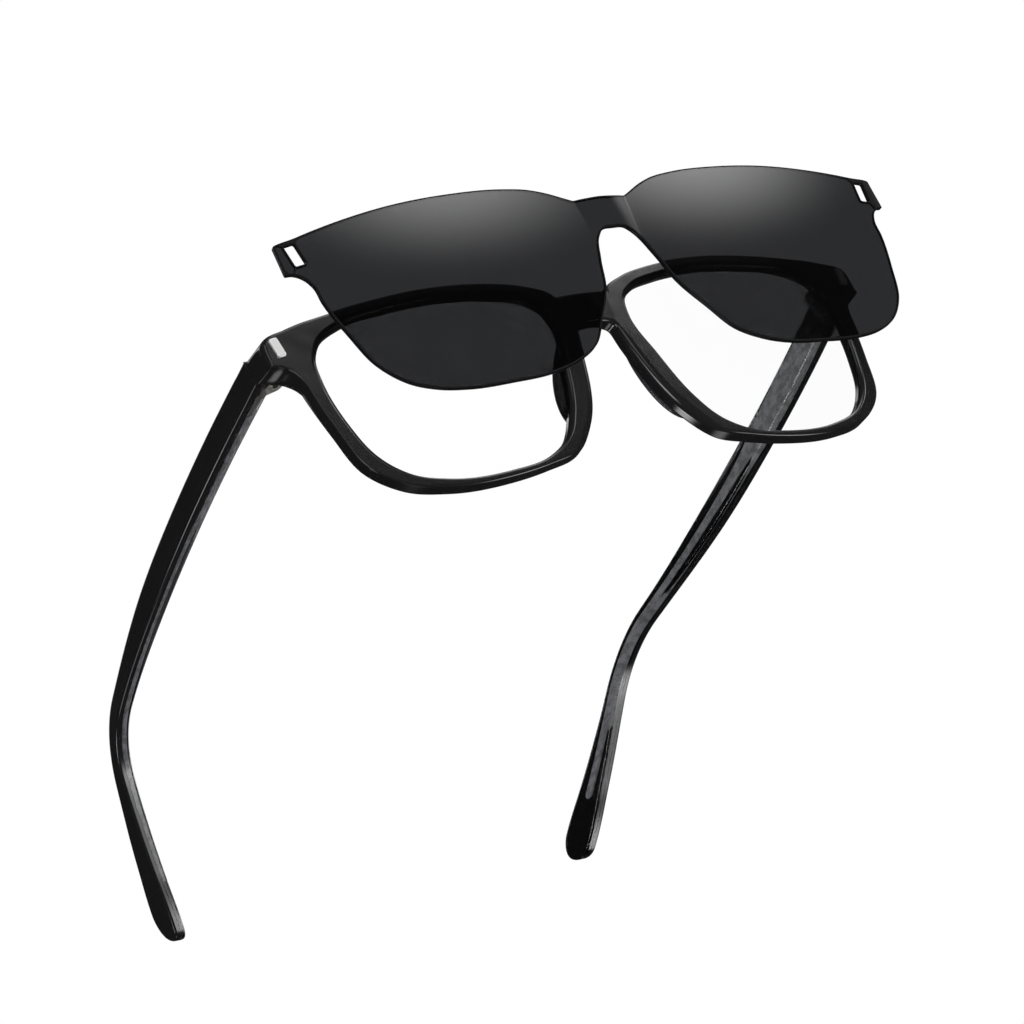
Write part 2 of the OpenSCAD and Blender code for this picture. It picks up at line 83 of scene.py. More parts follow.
# Rings of points over a rounded edge, points measured against a loop at once, and degrees
ROUND_RINGS = 4
BATCH = 800
SHARP_ANGLE = 32


def length(name, description, default_mm):
    """A size that a user may change, given here in millimetres."""
    return bpy.props.FloatProperty(
        name=name, description=description, default=default_mm * MM, unit="LENGTH", precision=5)


def angle(name, description, degrees):
    """An angle that a user may change, given here in degrees."""
    return bpy.props.FloatProperty(
        name=name, description=description, default=math.radians(degrees), subtype="ANGLE")


def tint(name, description, rgb):
    """A colour that a user may change."""
    return bpy.props.FloatVectorProperty(
        name=name, description=description, default=rgb, size=3, subtype="COLOR", min=0, max=1)


class SpectacleFrontSizes(bpy.types.PropertyGroup):
    lens_w: length("Opening width", "Width of each lens opening", 49.6)
    lens_h: length("Opening height", "Height of each lens opening", 37.2)
    bridge_w: length("Bridge width", "Distance between the openings", 18)
    lens_top: length("Opening top", "Height of the openings above the middle of the plaques", 3.9)
    front_t: length("Thickness", "Thickness of the front", 3.1)
    wing_r: length("Face radius", "Radius of each half of the front, seen from above", 680)
    wing_slope: angle("Face slope", "Angle of each half of the front at the bridge", 2.6)
    bridge_r: length("Bridge radius", "Radius of the crowned bridge face", 39)
    crease_top: length("Crease at the top", "Half width of the bridge face at its top", 5.5)
    crease_foot: length("Crease at the foot", "Half width of the bridge face at its foot", 4.9)
    rim_brow: length("Brow", "Rim width beside the bridge", 4.4)
    rim_top: length("Top", "Rim width along the top", 2.8)
    rim_side: length("Side", "Rim width on the side of the temples", 3.4)
    rim_low: length("Bottom", "Rim width along the bottom", 1.5)
    rim_nose: length("Nose", "Rim width on the side of the nose", 5)
    bridge_top: length("Bridge top", "Height of the bridge's top edge", 0.4)
    bridge_h: length("Bridge height", "Height of the bridge between the rims", 6.4)
    end_reach: length("End reach", "Reach of the end piece beyond the opening", 8.6)
    end_top: length("End top", "Height of the end piece above the middle of the plaque", 2.4)
    end_low: length("End foot", "Depth of the end piece below the middle of the plaque", 3.5)
    end_depth: length("End depth", "Depth of the end piece back to the joint", 6.3)
    end_flare: length("End flare", "Flare of the end piece out to the temple", 0.4)
    outer_round: length("Outer rounding", "Radius of the front's outer edge", 0.75)
    side_round: length("Side rounding", "Radius of the outer edge below the end pieces", 0.34)
    end_round: length("End rounding", "Radius of the end pieces' upright edges", 0.95)
    nasal_round: length("Nasal rounding", "Radius of the rims' edges beside the nose", 1.5)
    inner_round: length("Inner rounding", "Radius of the openings' front edge", 1.15)
    back_round: length("Back rounding", "Radius of the front's back edges", 0.55)
    lens_t: length("Lens thickness", "Thickness of a lens", 1.8)
    groove: length("Groove", "Depth of the groove that holds a lens", 0.6)
    pad_len: length("Pad length", "Length of a nose pad", 20)
    pad_w: length("Pad width", "Width of a nose pad", 7)
    pad_rise: length("Pad height", "Height of a nose pad behind the rim", 2.3)
    plaque_w: length("Plaque width", "Width of a plaque", 1.8)
    plaque_h: length("Plaque height", "Height of a plaque", 4.1)
    plaque_in: length("Plaque inset", "Distance of a plaque from the outer end", 2.7)
    plaque_rise: length("Plaque rise", "Height of a plaque over the front", 0.55)
    plaque_lean: angle("Plaque lean", "Lean of a plaque, its top further out", 7)


class SpectacleHingeSizes(bpy.types.PropertyGroup):
    knuckle_d: length("Knuckle", "Diameter of a hinge knuckle", 3.2)
    knuckle_h: length("Knuckle height", "Height of one knuckle", 0.86)
    knuckle_gap: length("Knuckle gap", "Gap between two knuckles", 0.06)
    screw_d: length("Screw", "Diameter of the hinge screw", 1.4)
    head_d: length("Screw head", "Diameter of the screw's head", 2.3)
    head_h: length("Head height", "Height of the screw's head", 0.5)
    hinge_back: length("Axis back", "Distance of the hinge axis behind the joint", 1.9)
    hinge_in: length("Axis inset", "Distance of the hinge axis from the outer face", 4.6)
    leaf_t: length("Leaf", "Thickness of a hinge leaf", 1.1)
    knuckles: bpy.props.IntProperty(
        name="Knuckles", description="Number of knuckles in a hinge", default=5, min=3, max=7)


class SpectacleTempleSizes(bpy.types.PropertyGroup):
    temple_len: length("Length", "Length of a temple along its middle line", 143)
    bend_start: length("Bend start", "Straight length to the start of the bend", 89.8)
    bend_angle: angle("Bend angle", "Angle of the bend behind the ear", 37)
    bend_r: length("Bend radius", "Radius of the bend behind the ear", 30)
    temple_pitch: angle("Pitch", "Angle of the temple to the front", 9.4)
    temple_h: length("Height at the joint", "Height of the temple at the joint", 5.6)
    waist_h: length("Height at the waist", "Height of the temple at its waist", 3.4)
    tip_h: length("Height at the tip", "Height of the temple near its tip", 8)
    temple_t: length("Thickness at the joint", "Thickness of the temple at the joint", 3.9)
    tip_t: length("Thickness at the tip", "Thickness of the temple at its tip", 2.4)
    temple_bow: length("Bow", "Outward bow of the temple", 1.4)
    tip_in: length("Tip curve", "Inward curve of the temple tip", 18.5)
    outer_t: length("Outer layer", "Thickness of the outer layer", 1.25)
    joint_gap: length("Joint gap", "Gap between end piece and temple", 0.12)
    edge_round: length("Edge rounding", "Radius of the temple's long edges", 0.5)
    core_h: length("Core plate", "Height of the core plate", 4.4)
    plate_end: length("Plate end", "Distance from the joint to the end of the core plate", 41)
    wire_h: length("Core wire", "Height of the core wire", 1.8)
    core_t: length("Core thickness", "Thickness of the core", 1.1)
    core_short: length("Core end", "Distance of the core's end from the temple tip", 14)
    core_play: length("Core clearance", "Clearance round the core", 0.05)
    rib_pitch: length("Rib pitch", "Distance between two ribs rolled into the core plate", 0.62)


class SpectacleShieldSizes(bpy.types.PropertyGroup):
    shield_t: length("Thickness", "Thickness of the shield", 0.9)
    shield_gap: length("Gap", "Gap between the seated shield and the front", 0.25)
    slot_play: length("Slot clearance", "Clearance of a plaque in its slot", 0.22)
    lift_forward: length("Forward", "Distance of the lifted shield in front of its seat", 15.7)
    lift_up: length("Up", "Distance of the lifted shield above its seat", 8.3)
    edge_round: length("Edge rounding", "Radius of the shield's edges", 0.12)
    ear_hook: length("Ear hook", "Backward bend of the ears' tips", 0.2)


class SpectacleFinishes(bpy.types.PropertyGroup):
    black: tint("Black acetate", "Polished black acetate", (0.0060, 0.0060, 0.0064))
    crystal: tint("Crystal acetate", "Clear acetate of the inner layers", (0.74, 0.735, 0.765))
    smoke: tint("Smoke acetate", "Grey translucent nose pads", (0.030, 0.029, 0.034))
    lens: tint("Clear lens", "Clear lens material", (0.998, 1.0, 0.999))
    shield: tint("Dark shield", "Dark sun lens, seen once through", (0.0240, 0.0245, 0.0260))
    silver: tint("Silver plaque", "Brushed silver plaques", (0.86, 0.86, 0.85))
    nickel: tint("Nickel", "Warm nickel of the hinges", (0.66, 0.64, 0.60))
    steel: tint("Steel", "Screw steel", (0.58, 0.57, 0.55))
    core: tint("Core metal", "Rolled metal core of the temples", (0.70, 0.71, 0.72))
    floor: tint("Floor", "Pale floor", (0.80, 0.80, 0.80))


class SpectacleStudio(bpy.types.PropertyGroup):
    eye: bpy.props.FloatVectorProperty(
        name="Camera place", description="Place of the camera from the middle of the plaques",
        default=(-0.54187, -0.63717, -0.39848), size=3, unit="LENGTH", subtype="TRANSLATION")
    aim: bpy.props.FloatVectorProperty(
        name="Camera aim", description="Point in the middle of the picture",
        default=(-0.0131, 0.0251, -0.0260), size=3, unit="LENGTH", subtype="TRANSLATION")
    roll: angle("Camera roll", "Turn of the camera about its view", 26.38)
    lens: bpy.props.FloatProperty(
        name="Focal length", description="Focal length in millimetres on a 36 mm sensor", default=175.78)
    floor_drop: length("Floor", "Depth of the floor under the standing frame", 620)


def sizes_of(*groups):
    """The groups' lengths in millimetres, angles in degrees and counts as they are, in one place."""
    found = SimpleNamespace()
    for group in groups:
        for key in type(group).__annotations__:
            value = getattr(group, key)
            if isinstance(value, float):
                shape = group.bl_rna.properties[key]
                value = math.degrees(value) if shape.unit == "ROTATION" else value / MM
            setattr(found, key, value)
    return found


def spectacle_sizes():
    """All sizes of the frame, with the places that follow from them."""
    scene = bpy.context.scene
    s = sizes_of(scene.spectacle_front, scene.spectacle_hinges, scene.spectacle_temples)
    s.open_x = s.bridge_w / 2
    s.end_x = s.open_x + s.lens_w + s.end_reach
    s.plaque_x = s.end_x - s.plaque_in
    s.hinge_x = s.end_x - s.hinge_in
    s.crease_x = (s.crease_top + s.crease_foot) / 2 + 0.4
    s.wing_cx = s.crease_x - s.wing_r * math.sin(math.radians(s.wing_slope))
    s.wing_cy = math.sqrt(s.wing_r ** 2 - (s.plaque_x - s.wing_cx) ** 2)
    s.joint_z = -0.4
    s.joint_x = s.end_x + s.end_flare - s.temple_t / 2
    s.arc_len = s.bend_r * math.radians(s.bend_angle)
    s.leg_start = s.bend_start + s.arc_len
    s.tip_base = s.temple_len - s.tip_h * 0.62
    s.stack_h = s.knuckles * s.knuckle_h + (s.knuckles - 1) * s.knuckle_gap
    s.plate_start = s.hinge_back + s.knuckle_d / 2 + 0.3
    s.plate_split = s.hinge_back + 7
    s.core_start = s.hinge_back + 7.05
    return s


# The stance of the frame, read from the joints of the CAD model
HINGE = next(joint for joint in frame["joints"] if joint["name"] == "temple_right_fold")


def stance(s):
    """Lean of the front in degrees and height of the plaques' middle over the ground in millimetres."""
    lean = math.degrees(math.atan2(-HINGE["axis"][1], HINGE["axis"][2])) + s.temple_pitch
    pitch = math.radians(s.temple_pitch)
    back = s.end_depth + s.hinge_back * math.cos(pitch)
    up = s.joint_z - s.hinge_back * math.sin(pitch)
    turn = math.radians(lean)
    return lean, HINGE["pos_m"][2] / MM - up * math.cos(turn) - back * math.sin(turn)


def turn_x(points, degrees):
    """Points turned about the X axis."""
    c, n = math.cos(math.radians(degrees)), math.sin(math.radians(degrees))
    p = np.asarray(points, float)
    return np.stack([p[..., 0], p[..., 1] * c - p[..., 2] * n, p[..., 1] * n + p[..., 2] * c], -1)


def turn_z(points, degrees):
    """Points turned about the Z axis."""
    c, n = math.cos(math.radians(degrees)), math.sin(math.radians(degrees))
    p = np.asarray(points, float)
    return np.stack([p[..., 0] * c - p[..., 1] * n, p[..., 0] * n + p[..., 1] * c, p[..., 2]], -1)


def smooth(low, high, value):
    """Share from 0 at low to 1 at high, without a kink at either."""
    t = np.clip((np.asarray(value, float) - low) / (high - low), 0, 1)
    return t * t * (3 - 2 * t)


def unit(vectors):
    """Vectors brought to length 1."""
    return vectors / np.maximum(np.linalg.norm(vectors, axis=-1, keepdims=True), 1e-12)


def knots(points, closed):
    """Slopes at the points of a smooth curve."""
    p = np.asarray(points, float)
    before, after = np.roll(p, 1, 0), np.roll(p, -1, 0)
    d0 = np.maximum(np.linalg.norm(p - before, axis=1), 0.01)[:, None]
    d1 = np.maximum(np.linalg.norm(after - p, axis=1), 0.01)[:, None]
    found = ((p - before) / d0 * d1 + (after - p) / d1 * d0) / (d0 + d1)
    if not closed:
        found[0] = (p[1] - p[0]) / d1[0]
        found[-1] = (p[-1] - p[-2]) / d0[-1]
    return found


def curve(points, closed=False, steps=14):
    """Points of a smooth curve through a few points."""
    p = np.asarray(points, float)
    m = knots(p, closed)
    q, n = np.roll(p, -1, 0), np.roll(m, -1, 0)
    if not closed:
        p, q, m, n = p[:-1], q[:-1], m[:-1], n[:-1]
    d = np.maximum(np.linalg.norm(q - p, axis=1), 0.01)[:, None, None]
    t = (np.arange(steps) / steps)[None, :, None]
    p, q, m, n = (a[:, None, :] for a in (p, q, m, n))
    line = (p * (1 + 2 * t) * (1 - t) ** 2 + m * d * t * (1 - t) ** 2
            + q * t * t * (3 - 2 * t) + n * d * t * t * (t - 1)).reshape(-1, 2)
    return line if closed else np.vstack([line, np.asarray(points, float)[-1]])


def along(table, x):
    """Value at x of the smooth line through a table of [x, value]."""
    p = np.asarray(table, float)
    m = knots(p, False)
    x = np.clip(x, p[0, 0], p[-1, 0])
    i = np.clip(np.searchsorted(p[:, 0], x, side="right") - 1, 0, len(p) - 2)
    d = np.linalg.norm(p[i + 1] - p[i], axis=-1)
    t = (x - p[i, 0]) / (p[i + 1, 0] - p[i, 0])
    return (p[i, 1] * (1 + 2 * t) * (1 - t) ** 2 + m[i, 1] * d * t * (1 - t) ** 2
            + p[i + 1, 1] * t * t * (3 - 2 * t) + m[i + 1, 1] * d * t * t * (t - 1))


def dense(loop, step):
    """A closed loop with points every step along it."""
    p = np.vstack([loop, loop[:1]])
    run = np.concatenate([[0], np.cumsum(np.linalg.norm(np.diff(p, axis=0), axis=1))])
    at = np.linspace(0, run[-1], max(8, int(run[-1] / step)), endpoint=False)
    return np.stack([np.interp(at, run, p[:, k]) for k in (0, 1)], 1)


def blurred(fine, radius):
    """A closed loop of points a fine step apart, with its corners rounded."""
    spread = max(1, int(radius / FINE_STEP))
    reach = np.arange(-3 * spread, 3 * spread + 1)
    weights = np.exp(-0.5 * (reach / spread) ** 2)
    weights /= weights.sum()
    wrapped = np.vstack([fine[-3 * spread:], fine, fine[:3 * spread]])
    return np.stack([np.convolve(wrapped[:, k], weights, "valid") for k in (0, 1)], 1)


def softened(loop, radius, step, filleted=None):
    """A closed loop with its corners rounded, and with points that crowd together where it turns.

    filleted gives a larger rounding and a share of it at each point."""
    fine = dense(loop, FINE_STEP)
    soft = blurred(fine, radius)
    if filleted:
        share = filleted[1](soft)[:, None]
        soft = soft * (1 - share) + blurred(fine, filleted[0]) * share
    ahead = np.roll(soft, -1, 0) - soft
    heading = np.unwrap(np.arctan2(ahead[:, 1], ahead[:, 0]))
    full_turn = 6.283
    spin = round((heading[-1] - heading[0]) / full_turn) * full_turn
    turning = np.abs(np.diff(heading, append=heading[:1] + spin))
    weight = np.linalg.norm(ahead, axis=1) / step + np.minimum(turning, 0.5) / math.radians(9)
    run = np.concatenate([[0], np.cumsum(weight)])
    at = np.linspace(0, run[-1], int(run[-1]), endpoint=False)
    closed = np.vstack([soft, soft[:1]])
    return np.stack([np.interp(at, run, closed[:, k]) for k in (0, 1)], 1)


def union_loop(polygons):
    """Outer boundary of several polygons laid over each other, anticlockwise."""
    points, faces = [], []
    for polygon in polygons:
        polygon = polygon if spin_of(polygon) > 0 else polygon[::-1]
        faces.append(list(range(len(points), len(points) + len(polygon))))
        points += [Vector(p) for p in polygon]
    verts, _, found, _, _, owners = delaunay_2d_cdt(points, [], faces, 0, 1e-5)
    edges = {}
    for face, owner in zip(found, owners):
        if owner:
            for a, b in zip(face, face[1:] + face[:1]):
                edges[(a, b)] = True
    border = {a: b for a, b in edges if (b, a) not in edges}
    loops = []
    while border:
        start = next(iter(border))
        loop, here = [], start
        while here in border:
            loop.append(here)
            here = border.pop(here)
        loops.append([verts[i] for i in loop])
    return np.array(max(loops, key=len), float)


def spin_of(loop):
    """Twice the signed area of a loop."""
    q = np.roll(loop, -1, 0)
    return float((loop[:, 0] * q[:, 1] - q[:, 0] * loop[:, 1]).sum())


def nearest(points, loop):
    """Distance from each point to a loop, the nearest place on it, and how far along that lies."""
    a, b = loop, np.roll(loop, -1, 0)
    ab = b - a
    size = np.maximum((ab ** 2).sum(1), 1e-12)
    dist, place, index = [], [], []
    for part in np.array_split(points, max(1, len(points) // BATCH)):
        t = np.clip(((part[:, None] - a[None]) * ab[None]).sum(2) / size, 0, 1)
        q = a[None] + t[..., None] * ab[None]
        gap = ((part[:, None] - q) ** 2).sum(2)
        i = gap.argmin(1)
        rows = np.arange(len(part))
        dist.append(np.sqrt(gap[rows, i]))
        place.append(q[rows, i])
        index.append(i + t[rows, i])
    return np.concatenate(dist), np.concatenate(place), np.concatenate(index)


def inside(points, loop):
    """Whether each point lies inside a loop."""
    a, b = loop, np.roll(loop, -1, 0)
    x, y = points[:, 0][:, None], points[:, 1][:, None]
    across = (a[:, 1] > y) != (b[:, 1] > y)
    rise = np.where(np.abs(b[:, 1] - a[:, 1]) < 1e-12, 1e-12, b[:, 1] - a[:, 1])
    at = a[:, 0] + (y - a[:, 1]) / rise * (b[:, 0] - a[:, 0])
    return (across & (x < at)).sum(1) % 2 == 1


def inward(loop, material_inside):
    """Unit directions from a loop's points into the material."""
    ahead = np.roll(loop, -1, 0) - loop
    tangent = unit(unit(ahead) + unit(np.roll(ahead, 1, 0)))
    left = np.stack([-tangent[:, 1], tangent[:, 0]], 1)
    return left * (1 if (spin_of(loop) > 0) == material_inside else -1)


class Skin:
    """One face of a plate over a flat outline, with its edges rounded."""

    def __init__(self, loops, radii, pitch, extra, band=0.0):
        self.loops, self.radii, self.band = loops, radii, band
        points = [*loops]
        for number, (loop, radius) in enumerate(zip(loops, radii)):
            into = inward(loop, number == 0)
            insets = [radius * (1 - math.cos(math.radians(90 * k / ROUND_RINGS)))
                      for k in range(1, ROUND_RINGS + 1)]
            if band:
                insets.append(np.full(len(loop), band))
            for inset in insets:
                ring = loop + into * inset[:, None]
                points.append(ring[self.clear(ring, inset * NEARLY)])
        low, high = loops[0].min(0), loops[0].max(0)
        grid = np.stack(np.meshgrid(np.arange(low[0], high[0], pitch),
                                    np.arange(low[1], high[1], pitch)), -1).reshape(-1, 2)
        largest = max(band, *(r.max() for r in radii))
        lines = np.asarray(extra, float).reshape(-1, 2)
        for more, room in ((grid, largest + 0.3 * pitch), (lines, 0.12)):
            if len(more):
                more = more[self.within(more)]
                points.append(more[self.clear(more, np.full(len(more), room))])
        self.points = np.vstack(points)
        self.border = sum(len(loop) for loop in loops)
        self.triangles = self.cover()

    def within(self, points):
        """Whether each point lies in the material."""
        found = inside(points, self.loops[0])
        for hole in self.loops[1:]:
            found &= ~inside(points, hole)
        return found

    def clear(self, points, room):
        """Whether each point lies in the material and keeps its room from every edge."""
        found = self.within(points)
        for loop in self.loops:
            found &= nearest(points, loop)[0] >= room
        return found

    def cover(self):
        """Triangles over the material. Merged points keep the lowest number."""
        order = np.round(self.points / MERGE).astype(int)
        _, first = np.unique(order[self.border:], axis=0, return_index=True)
        keep = np.sort(first) + self.border
        self.points = np.vstack([self.points[:self.border], self.points[keep]])
        edges, start = [], 0
        for loop in self.loops:
            n = len(loop)
            edges += [(start + i, start + (i + 1) % n) for i in range(n)]
            start += n
        _, _, faces, origin, _, _ = delaunay_2d_cdt(
            [Vector(p) for p in self.points], edges, [], 0, 1e-6)
        if any(not o for o in origin):
            raise RuntimeError("an outline crosses itself")
        number = np.array([min(o) for o in origin])
        found = number[np.array([f for f in faces if len(f) == 3])]
        middles = self.points[found].mean(1)
        return found[self.within(middles)]

    def rounding(self):
        """How deep the rounded edges lie at each point, and how the surface leans there.

        It also marks the triangles in the band along the edges."""
        sunk = np.zeros(len(self.points))
        edge = np.full(len(self.points), 1e9)
        upright = np.ones(len(self.points))
        tilt = np.zeros((len(self.points), 2))
        start = 0
        for number, (loop, radius) in enumerate(zip(self.loops, self.radii)):
            dist, place, index = nearest(self.points, loop)
            own = slice(start, start + len(loop))
            dist[own] = 0
            edge = np.minimum(edge, dist)
            index[own] = np.arange(len(loop))
            r = np.interp(index, np.arange(len(loop) + 1), np.append(radius, radius[0]))
            away = unit(place - self.points)
            away[own] = -inward(loop, number == 0)
            start += len(loop)
            lean = np.clip((r - dist) / r, 0, 1)
            sunk += np.where(dist < r, r - r * np.sqrt(1 - lean ** 2), 0)
            upright *= np.sqrt(1 - lean ** 2)
            tilt += away * lean[:, None]
        self.banded = (edge[self.triangles] <= self.band * 1.02).all(1)
        return sunk, upright, tilt


def plate(loops, front, back, front_round, back_round, pitch=1.2, extra=(), walls=2, band=0.0):
    """A closed plate: points, faces, normals and whether each face is a wall.

    The loops are its outline and its holes. front and back give the places of its two faces."""
    loops = [np.asarray(loop, float) for loop in loops]
    thick = [np.linalg.norm(back(loop) - front(loop), axis=1) for loop in loops]
    skins, places, normals = [], [], []
    for face, other, radius in ((front, back, front_round), (back, front, back_round)):
        radii = [np.clip(np.broadcast_to(radius(loop, i) if callable(radius) else radius, len(loop)),
                         LEAST_ROUND, t * MOST_ROUND)
                 for i, (loop, t) in enumerate(zip(loops, thick))]
        skin = Skin(loops, [np.array(r) for r in radii], pitch, extra, band)
        p = skin.points
        here, there = face(p), other(p)
        deep = unit(there - here)
        sunk, upright, tilt = skin.rounding()
        du, dv = ((face(p + step) - face(p - step)) / (2 * PROBE)
                  for step in (np.array([PROBE, 0]), np.array([0, PROBE])))
        out = unit(np.cross(du, dv))
        out *= np.where((out * deep).sum(1) > 0, -1.0, 1.0)[:, None]
        side = du * tilt[:, :1] + dv * tilt[:, 1:]
        lean = np.linalg.norm(tilt, axis=1)[:, None]
        side = unit(side - out * (side * out).sum(1)[:, None]) * np.minimum(lean, 1)
        skins.append(skin)
        places.append(here + deep * sunk[:, None])
        normals.append(unit(out * upright[:, None] + side))
    offset = len(places[0])
    points, turned = [*places], [*normals]
    faces, walled = [], []
    for skin, place, normal, base in zip(skins, places, normals, (0, offset)):
        tri = skin.triangles
        cross = np.cross(place[tri[:, 1]] - place[tri[:, 0]], place[tri[:, 2]] - place[tri[:, 0]])
        wrong = (cross * normal[tri].mean(1)).sum(1) < 0
        tri = np.where(wrong[:, None], tri[:, ::-1], tri)
        faces += [tuple(t) for t in (tri + base).tolist()]
        walled += skin.banded.tolist()
    count, start = offset + len(places[1]), 0
    for n in map(len, loops):
        ids = np.arange(start, start + n)
        top, foot = places[0][ids], places[1][ids]
        run = unit(np.roll(top, -1, 0) - np.roll(top, 1, 0))
        out = unit(np.cross(run, foot - top))
        out *= np.where((out * normals[0][ids]).sum(1) < 0, -1.0, 1.0)[:, None]
        rows = [ids]
        for k in range(1, walls):
            points.append(top + (foot - top) * k / walls)
            turned.append(out)
            rows.append(np.arange(count, count + n))
            count += n
        rows.append(ids + offset)
        for a, b in zip(rows, rows[1:]):
            quads = np.stack([a, np.roll(a, -1), np.roll(b, -1), b], 1)
            faces += [tuple(q) for q in quads.tolist()]
            walled += [True] * n
        start += n
    points, turned = np.vstack(points), np.vstack(turned)
    for i, face in enumerate(faces):
        if len(face) == 4:
            a, b, c = points[face[0]], points[face[1]], points[face[2]]
            if np.dot(np.cross(b - a, c - a), turned[face[0]] + turned[face[2]]) < 0:
                faces[i] = face[::-1]
    return SimpleNamespace(points=points, faces=faces, normals=turned, walled=walled)


def mirrored(made):
    """The same piece for the other side of the face."""
    flip = np.array([-1.0, 1.0, 1.0])
    return SimpleNamespace(points=made.points * flip, normals=made.normals * flip,
                           faces=[f[::-1] for f in made.faces], walled=made.walled)


def stand(made, s, shift=(0, 0, 0)):
    """A shape in the front's own frame brought to the ground frame, in metres."""
    lean, height = stance(s)
    made.points = (turn_x(made.points + np.asarray(shift, float), lean) + [0, 0, height]) * MM
    made.normals = turn_x(made.normals, lean)
    return made


def at_joint(made, s):
    """A shape in the temple's frame brought to the front's own frame."""
    made.points = turn_x(made.points, -s.temple_pitch) + [0, s.end_depth, s.joint_z]
    made.normals = turn_x(made.normals, -s.temple_pitch)
    return made


def mesh_of(name, made):
    """A Blender mesh of a shape, shaded by the shape's own normals."""
    mesh = bpy.data.meshes.new(name)
    mesh.from_pydata(made.points.tolist(), [], made.faces)
    mesh.update()
    mesh.polygons.foreach_set("use_smooth", [True] * len(mesh.polygons))
    mesh.normals_split_custom_set_from_vertices([Vector(n) for n in unit(made.normals)])
    return mesh


def finish_of(name):
    """The material of a finish."""
    return bpy.data.materials["fine_" + name]


def piece(node, mesh, body, slot, walled=None):
    """An object of a mesh that rides on a body, stands for a CAD node and has its slot's finish.

    walled says which faces have the edge finish of the slot instead."""
    found = bpy.data.objects.new(node + "_finished", mesh)
    bpy.context.scene.collection.objects.link(found)
    mesh.materials.append(finish_of(slot))
    if walled is not None:
        mesh.materials.append(finish_of(slot + "_edge"))
        mesh.polygons.foreach_set("material_index", [int(w) for w in walled])
    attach(found, body)
    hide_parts(node)
    return found


def pair(kind, right, s, body, slot):
    """The right and the left piece of a shape in the front's own frame. In body, {} is the side."""
    for side, made in (("right", right), ("left", mirrored(right))):
        node = f"{kind}_{side}"
        mesh = mesh_of(node + "_finished", stand(made, s))
        piece(node, mesh, body.format(side), slot)


# Shapes of the front

def in_box(s, shares):
    """Points at shares of the opening's width and height."""
    p = np.asarray(shares, float)
    return np.stack([s.open_x + p[..., 0] * s.lens_w, s.lens_top - s.lens_h + p[..., 1] * s.lens_h], -1)


def rim_table(s):
    """The opening from its upper inner corner over the top, with the rim's width at each point."""
    return np.array([
        [0.00, 0.76, s.rim_brow], [0.02, 0.86, s.rim_brow],
        [0.08, 0.92, (s.rim_brow + s.rim_top) / 2 - 0.3], [0.20, 0.965, s.rim_top + 0.2],
        [0.42, 1.00, s.rim_top], [0.66, 0.99, s.rim_top],
        [0.84, 0.955, s.rim_top + 0.3], [0.94, 0.89, s.rim_side + 0.9], [0.99, 0.79, s.rim_side + 0.9],
        [1.00, 0.68, s.rim_side + 0.2], [0.98, 0.42, s.rim_side - 0.2], [0.93, 0.22, s.rim_side + 0.3],
        [0.84, 0.085, (s.rim_side + s.rim_low) / 2 + 0.2], [0.70, 0.018, s.rim_low + 0.4],
        [0.44, 0.00, s.rim_low], [0.29, 0.028, s.rim_low + 0.1],
        [0.19, 0.10, (s.rim_low + s.rim_nose) / 2 + 0.1], [0.11, 0.25, s.rim_nose - 0.4],
        [0.04, 0.52, s.rim_nose + 0.2]])


def opening_loop(s, grow=0.0):
    """The lens opening of the right half, grown by a distance or by one at each point."""
    points = in_box(s, rim_table(s)[:, :2])
    slope = unit(knots(points, True))
    return curve(points + grow * np.stack([-slope[:, 1], slope[:, 0]], 1), closed=True)


def rim_loop(s):
    """Outer line of the rim of the right half."""
    return opening_loop(s, rim_table(s)[:, 2:])


def end_loop(s):
    """Outline of the end piece: brow, outer end and the notch below it."""
    e = s.end_x
    rim = rim_loop(s)
    start = rim[np.argmin(np.abs(rim[:, 0] - (e - 19)) + 100 * (rim[:, 1] < 0))]
    return np.vstack([
        curve([start, [e - 13.2, s.lens_top + 1.12], [e - 9.2, s.lens_top + 0.6],
               [e - 5.7, s.end_top + 1.35], [e - 1.1, s.end_top], [e - 0.35, s.end_top - 0.7],
               [e, s.end_top - 2.2], [e, -s.end_low + 0.1]]),
        curve([[e, -s.end_low], [e - 1.4, -s.end_low - 0.2], [e - 2.8, -s.end_low - 0.8],
               [e - 4.2, -s.end_low - 2.7], [e - 5.1, -s.end_low - 5.4]]),
        [[e - 9.4, -s.end_low - 5.4], [e - 9.4, s.end_low - 2]]])


def bridge_loop(s):
    """Outline of the bridge, arched below."""
    half, low, arch = s.open_x - 1.5, s.bridge_top - s.bridge_h, 0.9
    reach = s.crease_x
    radius = (reach ** 2 + arch ** 2) / 2 / arch
    x = np.linspace(-reach, reach, 31)
    under = np.stack([x, low - radius + np.sqrt(radius ** 2 - x ** 2)], 1)
    return np.vstack([[[-half, s.bridge_top], [-half, low - arch]], under,
                      [[half, low - arch], [half, s.bridge_top]]])


def crease_at(s, z):
    """Half width of the bridge's face at a height."""
    # The crease keeps its slope this far above and below the bridge, in shares of its height
    above, below = -1.5, 1.6
    share = np.clip((s.bridge_top - z) / s.bridge_h, above, below)
    return s.crease_top + (s.crease_foot - s.crease_top) * share


def crease_lines(s, z, offsets):
    """Extra points beside the two creases of the bridge."""
    return np.vstack([np.stack([side * (crease_at(s, z) + off), z], 1)
                      for side in (1, -1) for off in offsets])


